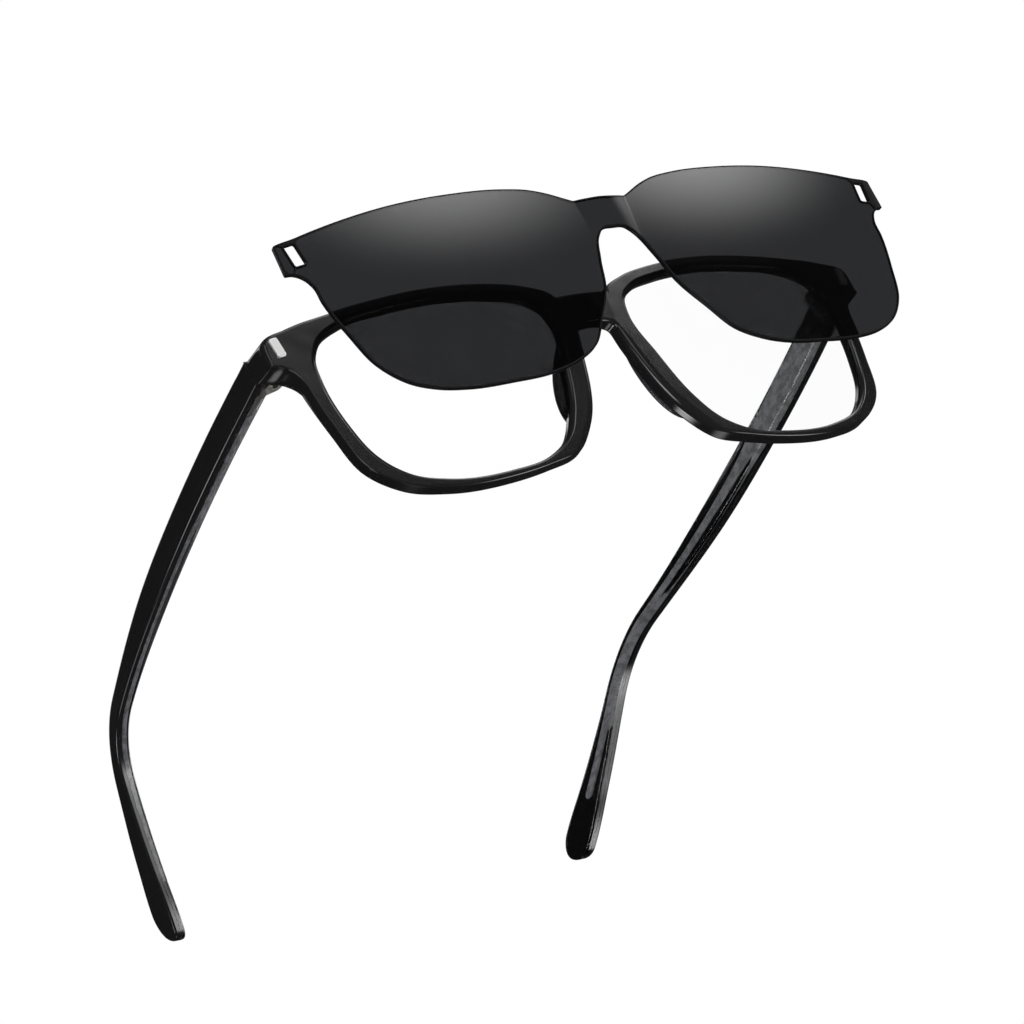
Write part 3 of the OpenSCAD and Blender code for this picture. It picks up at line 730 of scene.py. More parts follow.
def face_depth(s, p):
    """How far back the front's face lies at points across it, with a fine fillet in each crease."""
    x, z = np.abs(p[:, 0]), p[:, 1]
    crease = crease_at(s, z)
    # How far past the crease the fillet reaches, and how deep it is
    beyond, fillet = 1.5, 0.006
    reach = crease + beyond
    wing = s.wing_cy - np.sqrt(s.wing_r ** 2 - (x - s.wing_cx) ** 2)
    start = s.wing_cy - np.sqrt(s.wing_r ** 2 - (crease - s.wing_cx) ** 2)
    crown = (np.sqrt(s.bridge_r ** 2 - crease ** 2)
             - np.sqrt(s.bridge_r ** 2 - np.minimum(x, reach) ** 2))
    bridge = start + crown
    softly = (wing + bridge) / 2 - np.sqrt((wing - bridge) ** 2 / 4 + fillet ** 2)
    return np.where(x < reach, softly, wing)


def depth_direction(s, p, flared=True):
    """Unit direction into the front: square to its face, and flared outwards at the end pieces."""
    x, side = np.abs(p[:, 0]), np.sign(p[:, 0])
    slope = (np.maximum(x, s.crease_x) - s.wing_cx) / s.wing_r
    across = -slope * smooth(0, 4, x)
    if flared:
        flare = s.end_flare / s.end_depth
        across = across + (flare - across) * smooth(s.end_x - 8.6, s.end_x - 1.2, x)
    return unit(np.stack([side * across, np.ones_like(x), np.zeros_like(x)], 1))


def front_face(s):
    """The places of the front's face."""
    def face(p):
        return np.stack([p[:, 0], face_depth(s, p), p[:, 1]], 1)
    return face


def front_back(s):
    """The places of the front's back: a thin rim that deepens to the joint at each end piece."""
    face = front_face(s)
    pitch = math.radians(s.temple_pitch)
    # Where the back starts to deepen, in from the outer end, and over what run it does
    step_in, step_run = 7.0, 1.2
    # Below the end piece it starts further out and takes longer
    low_top, low_foot, low_out, low_run = -2.4, -4.6, 0.8, 3.0

    def back(p):
        here, deep = face(p), depth_direction(s, p)
        x, z = np.abs(p[:, 0]), p[:, 1]
        joint = s.end_depth - s.joint_gap / math.cos(pitch) + (z - s.joint_z) * math.tan(pitch)
        full = (joint - here[:, 1]) / deep[:, 1]
        low = smooth(low_top, low_foot, z)
        start = s.end_x - step_in + low_out * low
        share = smooth(0, 1, (x - start) / (step_run + low_run * low))
        return here + deep * (s.front_t + (full - s.front_t) * share)[:, None]
    return back


def step_lines(s):
    """Extra points where the back deepens towards the joints."""
    z = np.arange(-14, 5, 0.5)
    return np.vstack([np.stack([side * np.full_like(z, s.end_x - off), z], 1)
                      for side in (1, -1) for off in np.arange(1.6, 7.4, 0.3)])


def build_front():
    """The front frame as one mesh."""
    s = spectacle_sizes()
    flip = np.array([-1.0, 1.0])
    right = [rim_loop(s), end_loop(s)]
    outline = union_loop([bridge_loop(s), *right, *[p * flip for p in right]])
    foot = np.array([s.crease_x + 0.4, s.bridge_top - s.bridge_h - 0.6])

    def near_foot(p):
        away = np.linalg.norm(np.stack([np.abs(p[:, 0]), p[:, 1]], 1) - foot, axis=1)
        return smooth(5.5, 2.0, away)

    outer = softened(outline, radius=0.13, step=0.42, filleted=(0.9, near_foot))
    hole = softened(opening_loop(s), radius=0.08, step=0.5)
    holes = [hole, hole * flip]

    # Heights between which the front's edges thin out downwards, and how much they lose
    inner_low, outer_low, inner_less, outer_less = (-26, -31), (-24, -30), 0.45, 0.3

    def front_round(loop, number):
        x, z = np.abs(loop[:, 0]), loop[:, 1]
        if number:
            return s.inner_round - inner_less * smooth(*inner_low, z)
        found = s.outer_round * (1 - outer_less * smooth(*outer_low, z))
        side = smooth(s.end_x - 20, s.end_x - 15, x) * smooth(-2.0, -3.6, z)
        end = smooth(s.end_x - 1.2, s.end_x - 0.5, x) * smooth(-3.4, -2.6, z)
        nasal = smooth(s.open_x + 9, s.open_x + 3, x) * smooth(-7, -11, z)
        found = found + (s.side_round - found) * side
        found = found + (s.nasal_round - found) * nasal
        return found + (s.end_round - found) * end

    joint_round = 0.1

    def back_round(loop, number):
        x, z = np.abs(loop[:, 0]), loop[:, 1]
        ends = 0 if number else smooth(s.end_x - 7, s.end_x - 4, x) * smooth(-9, -6, z)
        return s.back_round * (1 - ends) + joint_round * ends

    heights = np.arange(s.bridge_top - s.bridge_h - 3, s.bridge_top + 2, 0.35)
    creases = crease_lines(s, heights, (-0.5, -0.12, 0, 0.12, 0.5))
    made = plate([outer, *holes], front_face(s), front_back(s), front_round, back_round,
                 pitch=1.1, extra=np.vstack([creases, step_lines(s)]), walls=3)
    mesh = mesh_of("front_frame_finished", stand(made, s))
    piece("front_frame", mesh, "front", "black_acetate")


def build_lenses():
    """The clear lenses, bent like the front, in their grooves."""
    s = spectacle_sizes()
    face = front_face(s)
    inset = (s.front_t - s.lens_t) / 2

    def surface(depth):
        return lambda p: face(p) + depth_direction(s, p) * depth

    play = 0.05
    loop = softened(opening_loop(s, s.groove - play), radius=0.1, step=0.8)
    right = plate([loop], surface(inset), surface(inset + s.lens_t),
                  front_round=0.25, back_round=0.25, pitch=2.2)
    pair("lens", right, s, "front", "clear_lens")


def build_nose_pads():
    """The nose pads: low translucent bumps that run out into the back of the rim."""
    s = spectacle_sizes()
    back = front_back(s)
    seat = in_box(s, [0.045, 0.45]) - [s.rim_nose / 2 - 1.2, 0.8]
    lean, sunk = 16, 0.25
    turn = math.radians(lean)
    up = np.array([-math.sin(turn), math.cos(turn)])
    across = np.array([math.cos(turn), math.sin(turn)])
    around = np.radians(np.arange(0, 360, 4))
    half_w, half_h = s.pad_w / 2, s.pad_len / 2
    taper, least = 0.22, 0.12
    narrow = 1 - taper * np.sin(around)
    loop = (seat + np.outer(half_w * np.cos(around) * narrow, across)
            + np.outer(half_h * np.sin(around), up))

    def dome(p):
        q = p - seat
        v = (q @ up) / half_h
        u = (q @ across) / (half_w * np.maximum(1 - taper * v, 0.5))
        fill = np.clip(1 - u * u - v * v, 0, 1)
        rise = least + (s.pad_rise - least) * np.sin(fill * math.pi / 2) ** 0.85 * (1 + 0.35 * u)
        return back(p) + depth_direction(s, p) * rise[:, None]

    def foot(p):
        return back(p) - depth_direction(s, p) * sunk

    right = plate([loop], foot, dome, front_round=0.05, back_round=0.1, pitch=0.45, walls=1)
    pair("nose_pad", right, s, "front", "smoke_acetate")


def rounded_box(w, h, radius, middle=(0, 0)):
    """Outline of a rectangle with rounded corners."""
    corners = []
    for cx, cy, first in ((1, 1, 0), (-1, 1, 90), (-1, -1, 180), (1, -1, 270)):
        for k in range(7):
            a = math.radians(first + 15 * k)
            corners.append([cx * (w / 2 - radius) + radius * math.cos(a),
                            cy * (h / 2 - radius) + radius * math.sin(a)])
    return dense(np.array(corners) + middle, 0.12)


def at_plaque(s, p3):
    """Points in a plaque's frame brought to the front's own frame."""
    lean = math.radians(s.plaque_lean)
    c, n = math.cos(lean), math.sin(lean)
    p = np.stack([p3[:, 0] * c + p3[:, 2] * n, p3[:, 1], -p3[:, 0] * n + p3[:, 2] * c], 1)
    slope = math.degrees(math.asin((s.plaque_x - s.wing_cx) / s.wing_r))
    return turn_z(p, slope) + [s.plaque_x, 0, 0]


def build_plaques():
    """The silver plaques let into the end pieces."""
    s = spectacle_sizes()
    loop = rounded_box(s.plaque_w, s.plaque_h, radius=0.42)

    def surface(depth):
        return lambda p: at_plaque(s, np.stack([p[:, 0], np.full(len(p), depth), p[:, 1]], 1))

    sunk = 0.8
    right = plate([loop], surface(-s.plaque_rise), surface(sunk),
                  front_round=0.26, back_round=0.04, pitch=0.3)
    pair("plaque", right, s, "front", "silver_plaque")


# Shapes of the temples

def temple_tables(s):
    """Heights, walls and plan of the temple against the length from the joint."""
    return SimpleNamespace(
        heights=[[0, s.temple_h], [30, s.temple_h], [60, s.temple_h - 0.4], [s.bend_start, s.waist_h],
                 [s.leg_start - 4, s.waist_h], [s.temple_len - 16, s.tip_h - 1.6],
                 [s.temple_len - 6, s.tip_h], [s.temple_len, s.tip_h - 0.6]],
        walls=[[0, s.temple_t], [20, s.temple_t - 0.2], [60, s.temple_t - 0.5],
               [s.leg_start, s.tip_t + 0.5], [s.temple_len, s.tip_t]],
        bow=[[0, 0], [20, s.temple_bow * 0.8], [40, s.temple_bow], [60, s.temple_bow * 0.5],
             [80, -s.tip_in * 0.07], [100, -s.tip_in * 0.25], [120, -s.tip_in * 0.53],
             [s.temple_len, -s.tip_in * 0.93]])


def rib(s, length_back, height):
    """Points [back, up] at a height over the temple's middle line."""
    length_back = np.asarray(length_back, float)
    turn = np.radians(s.bend_angle) * np.clip((length_back - s.bend_start) / s.arc_len, 0, 1)
    final = math.radians(s.bend_angle)
    straight = np.minimum(length_back, s.bend_start)
    leg = np.maximum(length_back - s.leg_start, 0)
    x = straight + s.bend_r * np.sin(turn) + leg * math.cos(final)
    z = -s.bend_r * (1 - np.cos(turn)) - leg * math.sin(final)
    return np.stack([x + height * np.sin(turn), z + height * np.cos(turn)], -1)


def length_at(s, p):
    """Length along the temple's middle line of the rib that passes through points [back, up]."""
    back, up = p[:, 0], p[:, 1]
    final = math.radians(s.bend_angle)
    turn = np.arctan2(back - s.bend_start, up + s.bend_r)
    start = rib(s, s.leg_start, 0.0)
    leg = (back - start[0]) * math.cos(final) - (up - start[1]) * math.sin(final)
    return np.where(back < s.bend_start, back,
                    np.where(turn < final, s.bend_start + s.bend_r * turn, s.leg_start + leg))


def side_loop(s):
    """The temple seen from the side."""
    t = temple_tables(s)
    run = np.linspace(0, s.tip_base, 120)
    half = along(t.heights, run) / 2
    around = np.radians(np.arange(84, -85, -6))
    # The tip is a half round, fuller below than above
    slant = np.cos(around) ** (0.92 + 0.30 * np.sin(around))
    blunt = 0.84
    tip = rib(s, s.tip_base + (s.temple_len - s.tip_base) * blunt * slant, half[-1] * np.sin(around))
    return np.vstack([rib(s, run, half), tip, rib(s, run[::-1], -half[::-1])])[::-1]


def outer_face(s, run):
    """Distance across of the temple's outer face at a length from the joint."""
    t = temple_tables(s)
    return s.joint_x + along(t.bow, run) + along(t.walls, run) / 2


def temple_surface(s, depth_of):
    """A surface inside the temple, at a depth under its outer face that depends on the length."""
    def face(p):
        run = length_at(s, p)
        return np.stack([outer_face(s, run) - depth_of(run), p[:, 0], p[:, 1]], 1)
    return face


def pocketed_surface(s, play):
    """The temple's inner face, with the round pocket in which the knuckles turn."""
    plain = temple_surface(s, lambda run: wall_of(s, run))
    radius = s.knuckle_d / 2 + play

    def face(p):
        found = plain(p)
        away = np.abs(p[:, 0] - s.hinge_back)
        cut = s.hinge_x + np.sqrt(np.maximum(radius ** 2 - away ** 2, 0))
        found[:, 0] = np.where(away < radius, np.maximum(found[:, 0], cut), found[:, 0])
        return found
    return face


def wall_of(s, run):
    """Thickness of the temple at a length from the joint."""
    return along(temple_tables(s).walls, run)


def build_temple_layers():
    """The black outer layers and the crystal inner layers of the temples."""
    s = spectacle_sizes()
    loop = softened(side_loop(s), radius=0.12, step=0.7)
    heights = np.arange(-s.temple_h / 2, s.temple_h / 2, 0.4)
    pocket = np.vstack([np.stack([np.full_like(heights, s.hinge_back + off), heights], 1)
                        for off in (-1.6, -1.45, -1.3, -1, -0.6, -0.2, 0.2, 0.6, 1, 1.3, 1.45, 1.6)])
    seam, overlap = 0.04, 0.03
    shoulder_more, joint_round, inner_more = 0.55, 0.3, 1.3

    def edge(loop_points, number):
        joint_end = smooth(0.6, 0.1, loop_points[:, 0])
        shoulder = smooth(5, 0.5, loop_points[:, 0]) * (loop_points[:, 1] > 0)
        return (s.edge_round + shoulder_more * shoulder) * (1 - joint_end) + joint_round * joint_end

    outer = plate([loop], temple_surface(s, lambda run: 0), temple_surface(s, lambda run: s.outer_t),
                  edge, seam, pitch=1.4)
    inner = plate([loop], temple_surface(s, lambda run: s.outer_t - overlap),
                  pocketed_surface(s, play=0.25), seam,
                  lambda points, number: edge(points, number) * inner_more, pitch=1.4, extra=pocket)
    pair("temple_outer", at_joint(outer, s), s, "temple_{}", "black_acetate")
    pair("temple_inner", at_joint(inner, s), s, "temple_{}", "crystal_acetate")


def core_depth(s, run):
    """Depth of the core's outer side under the temple's outer face."""
    wall = wall_of(s, run)
    free = wall - s.outer_t - s.core_t - s.core_play
    outward = 0.68
    return wall - outward * free - s.core_t


def core_loop(s, start):
    """The core seen from the side: a plate that narrows to a wire."""
    end = s.temple_len - s.core_short
    table = [[0, s.core_h], [s.plate_end - 6, s.core_h], [s.plate_end + 4, s.wire_h + 0.6],
             [s.plate_end + 14, s.wire_h], [end, s.wire_h]]
    run = np.linspace(start, end, 110)
    half = along(table, run) / 2
    around = np.radians(np.arange(75, -76, -15))
    tip = rib(s, end + s.wire_h / 2 * np.cos(around), s.wire_h / 2 * np.sin(around))
    return np.vstack([rib(s, run, half), tip, rib(s, run[::-1], -half[::-1])])[::-1]


def core_plate(s, loop, edge, pitch):
    """A plate as thick as the core and in its place, in the temple's frame."""
    return plate([loop], temple_surface(s, lambda run: core_depth(s, run)),
                 temple_surface(s, lambda run: core_depth(s, run) + s.core_t), edge, edge, pitch=pitch)


def build_cores():
    """The metal cores in the temples' inner layers, with ribs rolled into their plates."""
    s = spectacle_sizes()
    loop = softened(core_loop(s, s.core_start), radius=0.1, step=0.6)
    pair("core", at_joint(core_plate(s, loop, edge=0.18, pitch=0.9), s), s, "temple_{}", "core_metal")


# Shapes of the hinges

def lathe(profile, sides=40):
    """A closed solid of revolution about Z from a closed profile of [radius, height]."""
    around = np.radians(np.arange(sides) * 360 / sides)
    ring = np.stack([np.cos(around), np.sin(around)], 1)
    points = np.array([[*(turn * r), z] for r, z in np.asarray(profile, float) for turn in ring])
    faces = []
    for k in range(len(profile)):
        m = (k + 1) % len(profile)
        for i in range(sides):
            j = (i + 1) % sides
            faces.append((k * sides + i, k * sides + j, m * sides + j, m * sides + i))
    return SimpleNamespace(points=points, faces=faces)


def ring_profile(outer, inner, height, edge):
    """Half section of a ring with broken edges, from its lower outer edge round."""
    arc = [(edge * math.sin(math.radians(a)), edge * math.cos(math.radians(a))) for a in (0, 30, 60, 90)]
    lower = [[outer - edge + u, edge - v] for u, v in arc]
    upper = [[outer - edge + v, height - edge + u] for u, v in arc]
    return lower + upper + [[inner + edge / 2, height], [inner, height - edge / 2], [inner, edge / 2],
                            [inner + edge / 2, 0]]


def stack_tree(finish):
    """Geometry nodes that stack copies of a shape along an axis and give them one finish."""
    tree = bpy.data.node_groups.new("knuckle_stack", "GeometryNodeTree")
    face = tree.interface
    face.new_socket("Geometry", in_out="INPUT", socket_type="NodeSocketGeometry")
    count = face.new_socket("Count", in_out="INPUT", socket_type="NodeSocketInt")
    step = face.new_socket("Step", in_out="INPUT", socket_type="NodeSocketVector")
    face.new_socket("Geometry", in_out="OUTPUT", socket_type="NodeSocketGeometry")
    nodes, link = tree.nodes, tree.links.new
    start, end = nodes.new("NodeGroupInput"), nodes.new("NodeGroupOutput")
    line = nodes.new("GeometryNodeMeshLine")
    line.mode, line.count_mode = "OFFSET", "TOTAL"
    copies = nodes.new("GeometryNodeInstanceOnPoints")
    real = nodes.new("GeometryNodeRealizeInstances")
    paint = nodes.new("GeometryNodeSetMaterial")
    paint.inputs["Material"].default_value = finish
    link(start.outputs["Count"], line.inputs["Count"])
    link(start.outputs["Step"], line.inputs["Offset"])
    link(line.outputs["Mesh"], copies.inputs["Points"])
    link(start.outputs["Geometry"], copies.inputs["Instance"])
    link(copies.outputs["Instances"], real.inputs["Geometry"])
    link(real.outputs["Geometry"], paint.inputs["Geometry"])
    link(paint.outputs["Geometry"], end.inputs["Geometry"])
    return tree, count.identifier, step.identifier


def stacked(name, mesh, count, step, finish):
    """A plain mesh of copies of a mesh, each a step beyond the last."""
    tree, count_input, step_input = stack_tree(finish)
    seed = bpy.data.objects.new(name, mesh)
    bpy.context.scene.collection.objects.link(seed)
    modifier = seed.modifiers.new("Stack", "NODES")
    modifier.node_group = tree
    modifier[count_input] = count
    modifier[step_input] = [float(v) for v in step]
    bpy.context.view_layer.update()
    graph = bpy.context.evaluated_depsgraph_get()
    made = bpy.data.meshes.new_from_object(seed.evaluated_get(graph))
    bpy.data.objects.remove(seed)
    return made


def merged_mesh(name, meshes):
    """Several meshes joined into one, smooth but for its sharp edges."""
    target = bpy.data.meshes.new(name)
    points, faces, base = [], [], 0
    for mesh in meshes:
        points += [v.co.copy() for v in mesh.vertices]
        faces += [tuple(i + base for i in p.vertices) for p in mesh.polygons]
        base += len(mesh.vertices)
    target.from_pydata(points, [], faces)
    target.update()
    target.polygons.foreach_set("use_smooth", [True] * len(target.polygons))
    target.set_sharp_from_angle(angle=math.radians(SHARP_ANGLE))
    return target


def hinge_placed(s, points, side):
    """Points in a hinge's frame, axis along Z, brought to the ground frame in metres."""
    p = np.asarray(points, float) + [s.hinge_x, s.hinge_back, 0]
    p = turn_x(p, -s.temple_pitch) + [0, s.end_depth, s.joint_z]
    lean, height = stance(s)
    p = p * [side, 1, 1]
    return (turn_x(p, lean) + [0, 0, height]) * MM


def part_mesh(s, shape, side):
    """A mesh of a shape in a hinge's frame, on one side of the face."""
    mesh = bpy.data.meshes.new("part")
    mesh.from_pydata(hinge_placed(s, shape.points, side).tolist(), [],
                     shape.faces if side > 0 else [f[::-1] for f in shape.faces])
    return mesh


def hinge_mesh(s, name, side, first, shapes):
    """A hinge half: its knuckles, stacked by geometry nodes, and its other shapes."""
    ring = lathe(ring_profile(s.knuckle_d / 2, s.screw_d / 2 + 0.05, s.knuckle_h, edge=0.12))
    pitch = s.knuckle_h + s.knuckle_gap
    ring.points[:, 2] += -s.stack_h / 2 + first * pitch
    step = hinge_placed(s, [[0, 0, 2 * pitch]], side)[0] - hinge_placed(s, [[0, 0, 0]], side)[0]
    count = (s.knuckles - first + 1) // 2
    knuckles = stacked(name + "_knuckles", part_mesh(s, ring, side), count, step,
                       finish_of("nickel_hinge"))
    return merged_mesh(name, [knuckles, *(part_mesh(s, shape, side) for shape in shapes)])


def slab(loop, low, high, edge=0.08):
    """A plate that lies across the hinge axis, between two heights."""
    def level(z):
        return lambda p: np.stack([p[:, 0], p[:, 1], np.full(len(p), z)], 1)
    return plate([loop], level(high), level(low), edge, edge, pitch=1.0, walls=1)


def web_loop(s, reach_x, reach_y):
    """Outline of a temple web: from round the screw back and out to the core plate."""
    r = s.knuckle_d / 2
    around = np.radians(np.arange(130, -1, -13))
    bore = np.stack([np.cos(around), np.sin(around)], 1) * (s.screw_d / 2 + 0.25)
    tail = curve([[reach_x - 1.0, reach_y], [reach_x - 1.9, reach_y - 0.45],
                  [-r * 0.35, r * 0.93]], steps=8)
    return softened(np.vstack([[[reach_x, 0.0], [reach_x, reach_y]], tail,
                               [[-r * 0.6, r * 0.78]], bore]), 0.05, 0.25)


def screw_shapes(s):
    """The screw: its shank, and a slotted head in two halves on a thin disc."""
    top, foot = s.stack_h / 2 + s.knuckle_gap, -s.stack_h / 2
    axis, lap = 0.004, 0.02
    shank = lathe([[axis, foot - 0.05], [s.screw_d / 2 - 0.12, foot - 0.05],
                   [s.screw_d / 2, foot + 0.07], [s.screw_d / 2, top + lap], [axis, top + lap]])
    r, deep = s.head_d / 2, s.head_h / 2
    disc = lathe([[axis, top], [r - 0.05, top], [r, top + 0.05], [r, top + deep], [axis, top + deep]])
    around = np.radians(np.linspace(8, 172, 24))
    half = np.stack([r * np.cos(around), np.maximum(r * np.sin(around), 0.18)], 1)
    halves = [slab(softened(half * sign, radius=0.05, step=0.16), top + deep - lap, top + s.head_h,
                   edge=0.12) for sign in (1, -1)]
    return [shank, disc, *halves]


def build_hinges():
    """Five-knuckle hinges: a leaf in each end piece, webs to each core plate, and the screws."""
    s = spectacle_sizes()
    pitch = s.knuckle_h + s.knuckle_gap
    low = -s.stack_h / 2

    def level_slab(loop, i):
        return slab(loop, low + i * pitch, low + i * pitch + s.knuckle_h)

    leaf_end, leaf_len = -s.hinge_back - 0.13, 3.4
    leaf = slab(rounded_box(s.leaf_t, leaf_len, radius=0.1, middle=(0, leaf_end - leaf_len / 2)),
                low, s.stack_h / 2)
    neck_loop = rounded_box(s.leaf_t, s.hinge_back - 0.2, radius=0.05,
                            middle=(0, -s.hinge_back / 2 - 0.15))
    necks = [level_slab(neck_loop, i) for i in range(1, s.knuckles, 2)]
    start = np.array([s.plate_start])
    reach = float(outer_face(s, start)[0] - core_depth(s, start)[0]) - s.core_t / 2 - s.hinge_x
    webs = [level_slab(web_loop(s, reach, s.knuckle_d / 2 + 1.1), i) for i in range(0, s.knuckles, 2)]
    tail_loop = softened(rib_box(s, s.plate_start, s.plate_split), radius=0.1, step=0.5)
    tail = core_plate(s, tail_loop, edge=0.12, pitch=0.8)
    tail.points = tail.points - [s.hinge_x, s.hinge_back, 0]
    for side, sign in SIDES.items():
        for node, body, first, shapes in ((f"hinge_front_{side}", "front", 1, [leaf, *necks]),
                                          (f"hinge_temple_{side}", f"temple_{side}", 0, [*webs, tail])):
            piece(node, hinge_mesh(s, node + "_finished", sign, first, shapes), body, "nickel_hinge")
        node = f"hinge_screw_{side}"
        mesh = merged_mesh(node + "_finished", [part_mesh(s, shape, sign) for shape in screw_shapes(s)])
        piece(node, mesh, frame["nodes"][node]["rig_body"], "screw_steel")


def rib_box(s, start, end):
    """Outline of the hinge's leaf in the temple, seen from the side."""
    half = s.stack_h / 2
    return np.array([[start, -half], [end, -half], [end, half], [start, half]])


# Shape of the shield

def shield_loop(s):
    """Outline of the shield's right half: brow, ear, notch, lower edge and nose side."""
    p = s.plaque_x
    crease = s.crease_x
    brow = np.vstack([in_box(s, [[-0.04, 0.955], [0.03, 1.003], [0.10, 1.038], [0.20, 1.063],
                                 [0.44, 1.083], [0.685, 1.073], [0.867, 1.044], [1.028, 1.006]]),
                      [[p - 0.6, 3.3], [p + 1.6, 2.98], [p + 3.0, 2.72]]])
    foot = np.vstack([[[p + 3.3, -3.7], [p + 2.1, -3.9], [p + 0.6, -4.8], [p - 0.7, -7]],
                      in_box(s, [[1.10, 0.62], [1.062, 0.411], [1.012, 0.223], [0.917, 0.089],
                                 [0.827, 0.035], [0.706, 0.003], [0.524, -0.005],
                                 [0.363, 0.003], [0.242, 0.04],
                                 [0.133, 0.116], [0.06, 0.25], [-0.02, 0.417], [-0.06, 0.586],
                                 [-0.101, 0.715], [-0.135, 0.757]]), [[0, s.bridge_top - 5.4]]])
    half = np.vstack([[[0, s.bridge_top + 1.4], [crease + 0.2, s.bridge_top + 1.2]], curve(brow),
                      [[p + 3.25, 2.55], [p + 3.4, -3.5]], curve(foot)])
    other = half[::-1] * [-1, 1]
    return np.vstack([half, other[1:-1]])


def build_shield():
    """The dark clip-on shield with its two slots, lifted off its seat."""
    s = spectacle_sizes()
    c = sizes_of(bpy.context.scene.spectacle_shield)
    face = front_face(s)
    hook = s.end_x - 0.8

    def surface(depth):
        def place(p):
            x = np.abs(p[:, 0])
            bent = np.clip((x - hook) / 1.5, 0, 2) ** 2 * c.ear_hook
            found = face(p) - depth_direction(s, p, False) * depth
            found[:, 1] += bent
            return found
        return place

    lean = math.radians(s.plaque_lean)
    box = rounded_box(s.plaque_w + 2 * c.slot_play, s.plaque_h + 2 * c.slot_play, radius=0.3)
    slot = np.stack([box[:, 0] * math.cos(lean) + box[:, 1] * math.sin(lean) + s.plaque_x,
                     -box[:, 0] * math.sin(lean) + box[:, 1] * math.cos(lean)], 1)
    made = plate([softened(shield_loop(s), radius=0.14, step=0.5), slot, slot * [-1, 1]],
                 surface(c.shield_gap + c.shield_t), surface(c.shield_gap),
                 c.edge_round, c.edge_round, pitch=1.3, band=0.34,
                 extra=crease_lines(s, np.arange(-8, 3, 0.35), (-0.4, -0.1, 0, 0.1, 0.4)))
    mesh = mesh_of("clip_shield_finished", stand(made, s, (0, -c.lift_forward, c.lift_up)))
    # Lifted, it would block the gloss that the end piece and its plaque have to show
    piece("clip_shield", mesh, "shield", "dark_shield", made.walled).visible_glossy = False


# Finishes

class Value:
    """A socket of a shader tree that takes part in sums."""

    def __init__(self, finish, socket):
        self.finish = finish
        self.socket = socket

    def maths(self, operation, first, second):
        return self.finish.node("ShaderNodeMath", {"operation": operation}, {0: first, 1: second})

    def __add__(self, other):
        return self.maths("ADD", self, other)

    __radd__ = __add__

    def __sub__(self, other):
        return self.maths("SUBTRACT", self, other)

    def __rsub__(self, other):
        return self.maths("SUBTRACT", other, self)

    def __mul__(self, other):
        return self.maths("MULTIPLY", self, other)

    __rmul__ = __mul__

    def __pow__(self, other):
        return self.maths("POWER", self, other)

    def __rpow__(self, other):
        return self.maths("POWER", other, self)


class Finish:
    """A shader tree that is being made."""

    def __init__(self, tree):
        self.tree = tree
        tree.nodes.clear()

    def node(self, kind, settings=None, inputs=None, output=0):
        """One node: its settings first, then the values or links of its sockets."""
        made = self.tree.nodes.new(kind)
        for key, value in (settings or {}).items():
            setattr(made, key, value)
        for key, value in (inputs or {}).items():
            if isinstance(value, Value):
                self.tree.links.new(value.socket, made.inputs[key])
            else:
                made.inputs[key].default_value = value
        return Value(self, made.outputs[output]) if len(made.outputs) else None

    def grain(self, scale, detail=3.0, stretch=(1, 1, 1), rough=0.55):
        """Noise over the piece, in cycles to the metre, drawn out along an axis."""
        place = self.node("ShaderNodeTexCoord", output="Object")
        place = self.node("ShaderNodeMapping", {}, {"Vector": place, "Scale": stretch})
        return self.node("ShaderNodeTexNoise", {}, {
            "Vector": place, "Scale": scale, "Detail": detail, "Roughness": rough})

    def between(self, share, low, high):
        """A colour between two others."""
        return self.node("ShaderNodeMix", {"data_type": "RGBA"}, {
            0: share, 6: (*low, 1), 7: (*high, 1)}, output=2)

    def bump(self, height, strength, distance):
        """A fine relief."""
        return self.node("ShaderNodeBump", {}, {
            "Height": height, "Strength": strength, "Distance": distance})

    def surface(self, inputs):
        """The principled surface at the end of the tree."""
        shader = self.node("ShaderNodeBsdfPrincipled", {}, inputs)
        self.node("ShaderNodeOutputMaterial", {}, {"Surface": shader})


def shade(colour, factor):
    """A colour made darker or lighter."""
    return tuple(min(1.0, c * factor) for c in colour)


def new_finish(name):
    """An empty material and its tree."""
    material = bpy.data.materials.new("fine_" + name)
    material.use_nodes = True
    return Finish(material.node_tree)


def black_acetate(c):
    """Polished black acetate with faint cloudiness, wiping marks and a soft waviness."""
    f = new_finish("black_acetate")
    cloud = f.grain(scale=90, detail=2)
    wipe = f.grain(scale=500, detail=2, stretch=(1, 1, 0.12))
    wave = f.grain(scale=160, detail=1)
    f.surface({"Base Color": f.between(cloud, shade(c.black, 0.8), shade(c.black, 1.35)),
               "Roughness": 0.105 + wipe * 0.03,
               "IOR": 1.5,
               "Normal": f.bump(wave, strength=0.07, distance=0.0003)})


def crystal_acetate(c):
    """Clear acetate, faintly grey, with the slight waves of a hand-polished edge."""
    f = new_finish("crystal_acetate")
    cloud = f.grain(scale=120, detail=2)
    wave = f.grain(scale=260, detail=2, stretch=(1, 0.35, 1))
    f.surface({"Base Color": f.between(cloud, shade(c.crystal, 0.96), c.crystal),
               "Roughness": 0.02 + cloud * 0.05,
               "IOR": 1.49, "Transmission Weight": 1.0,
               "Normal": f.bump(wave, strength=0.05, distance=0.0003)})


def smoke_acetate(c):
    """Grey translucent acetate of the nose pads, satin where skin rubs it."""
    f = new_finish("smoke_acetate")
    cloud = f.grain(scale=240, detail=3)
    f.surface({"Base Color": f.between(cloud, shade(c.smoke, 0.8), c.smoke),
               "Roughness": 0.08 + cloud * 0.10,
               "IOR": 1.49, "Transmission Weight": 0.5,
               "Normal": f.bump(cloud, strength=0.05, distance=0.0002)})


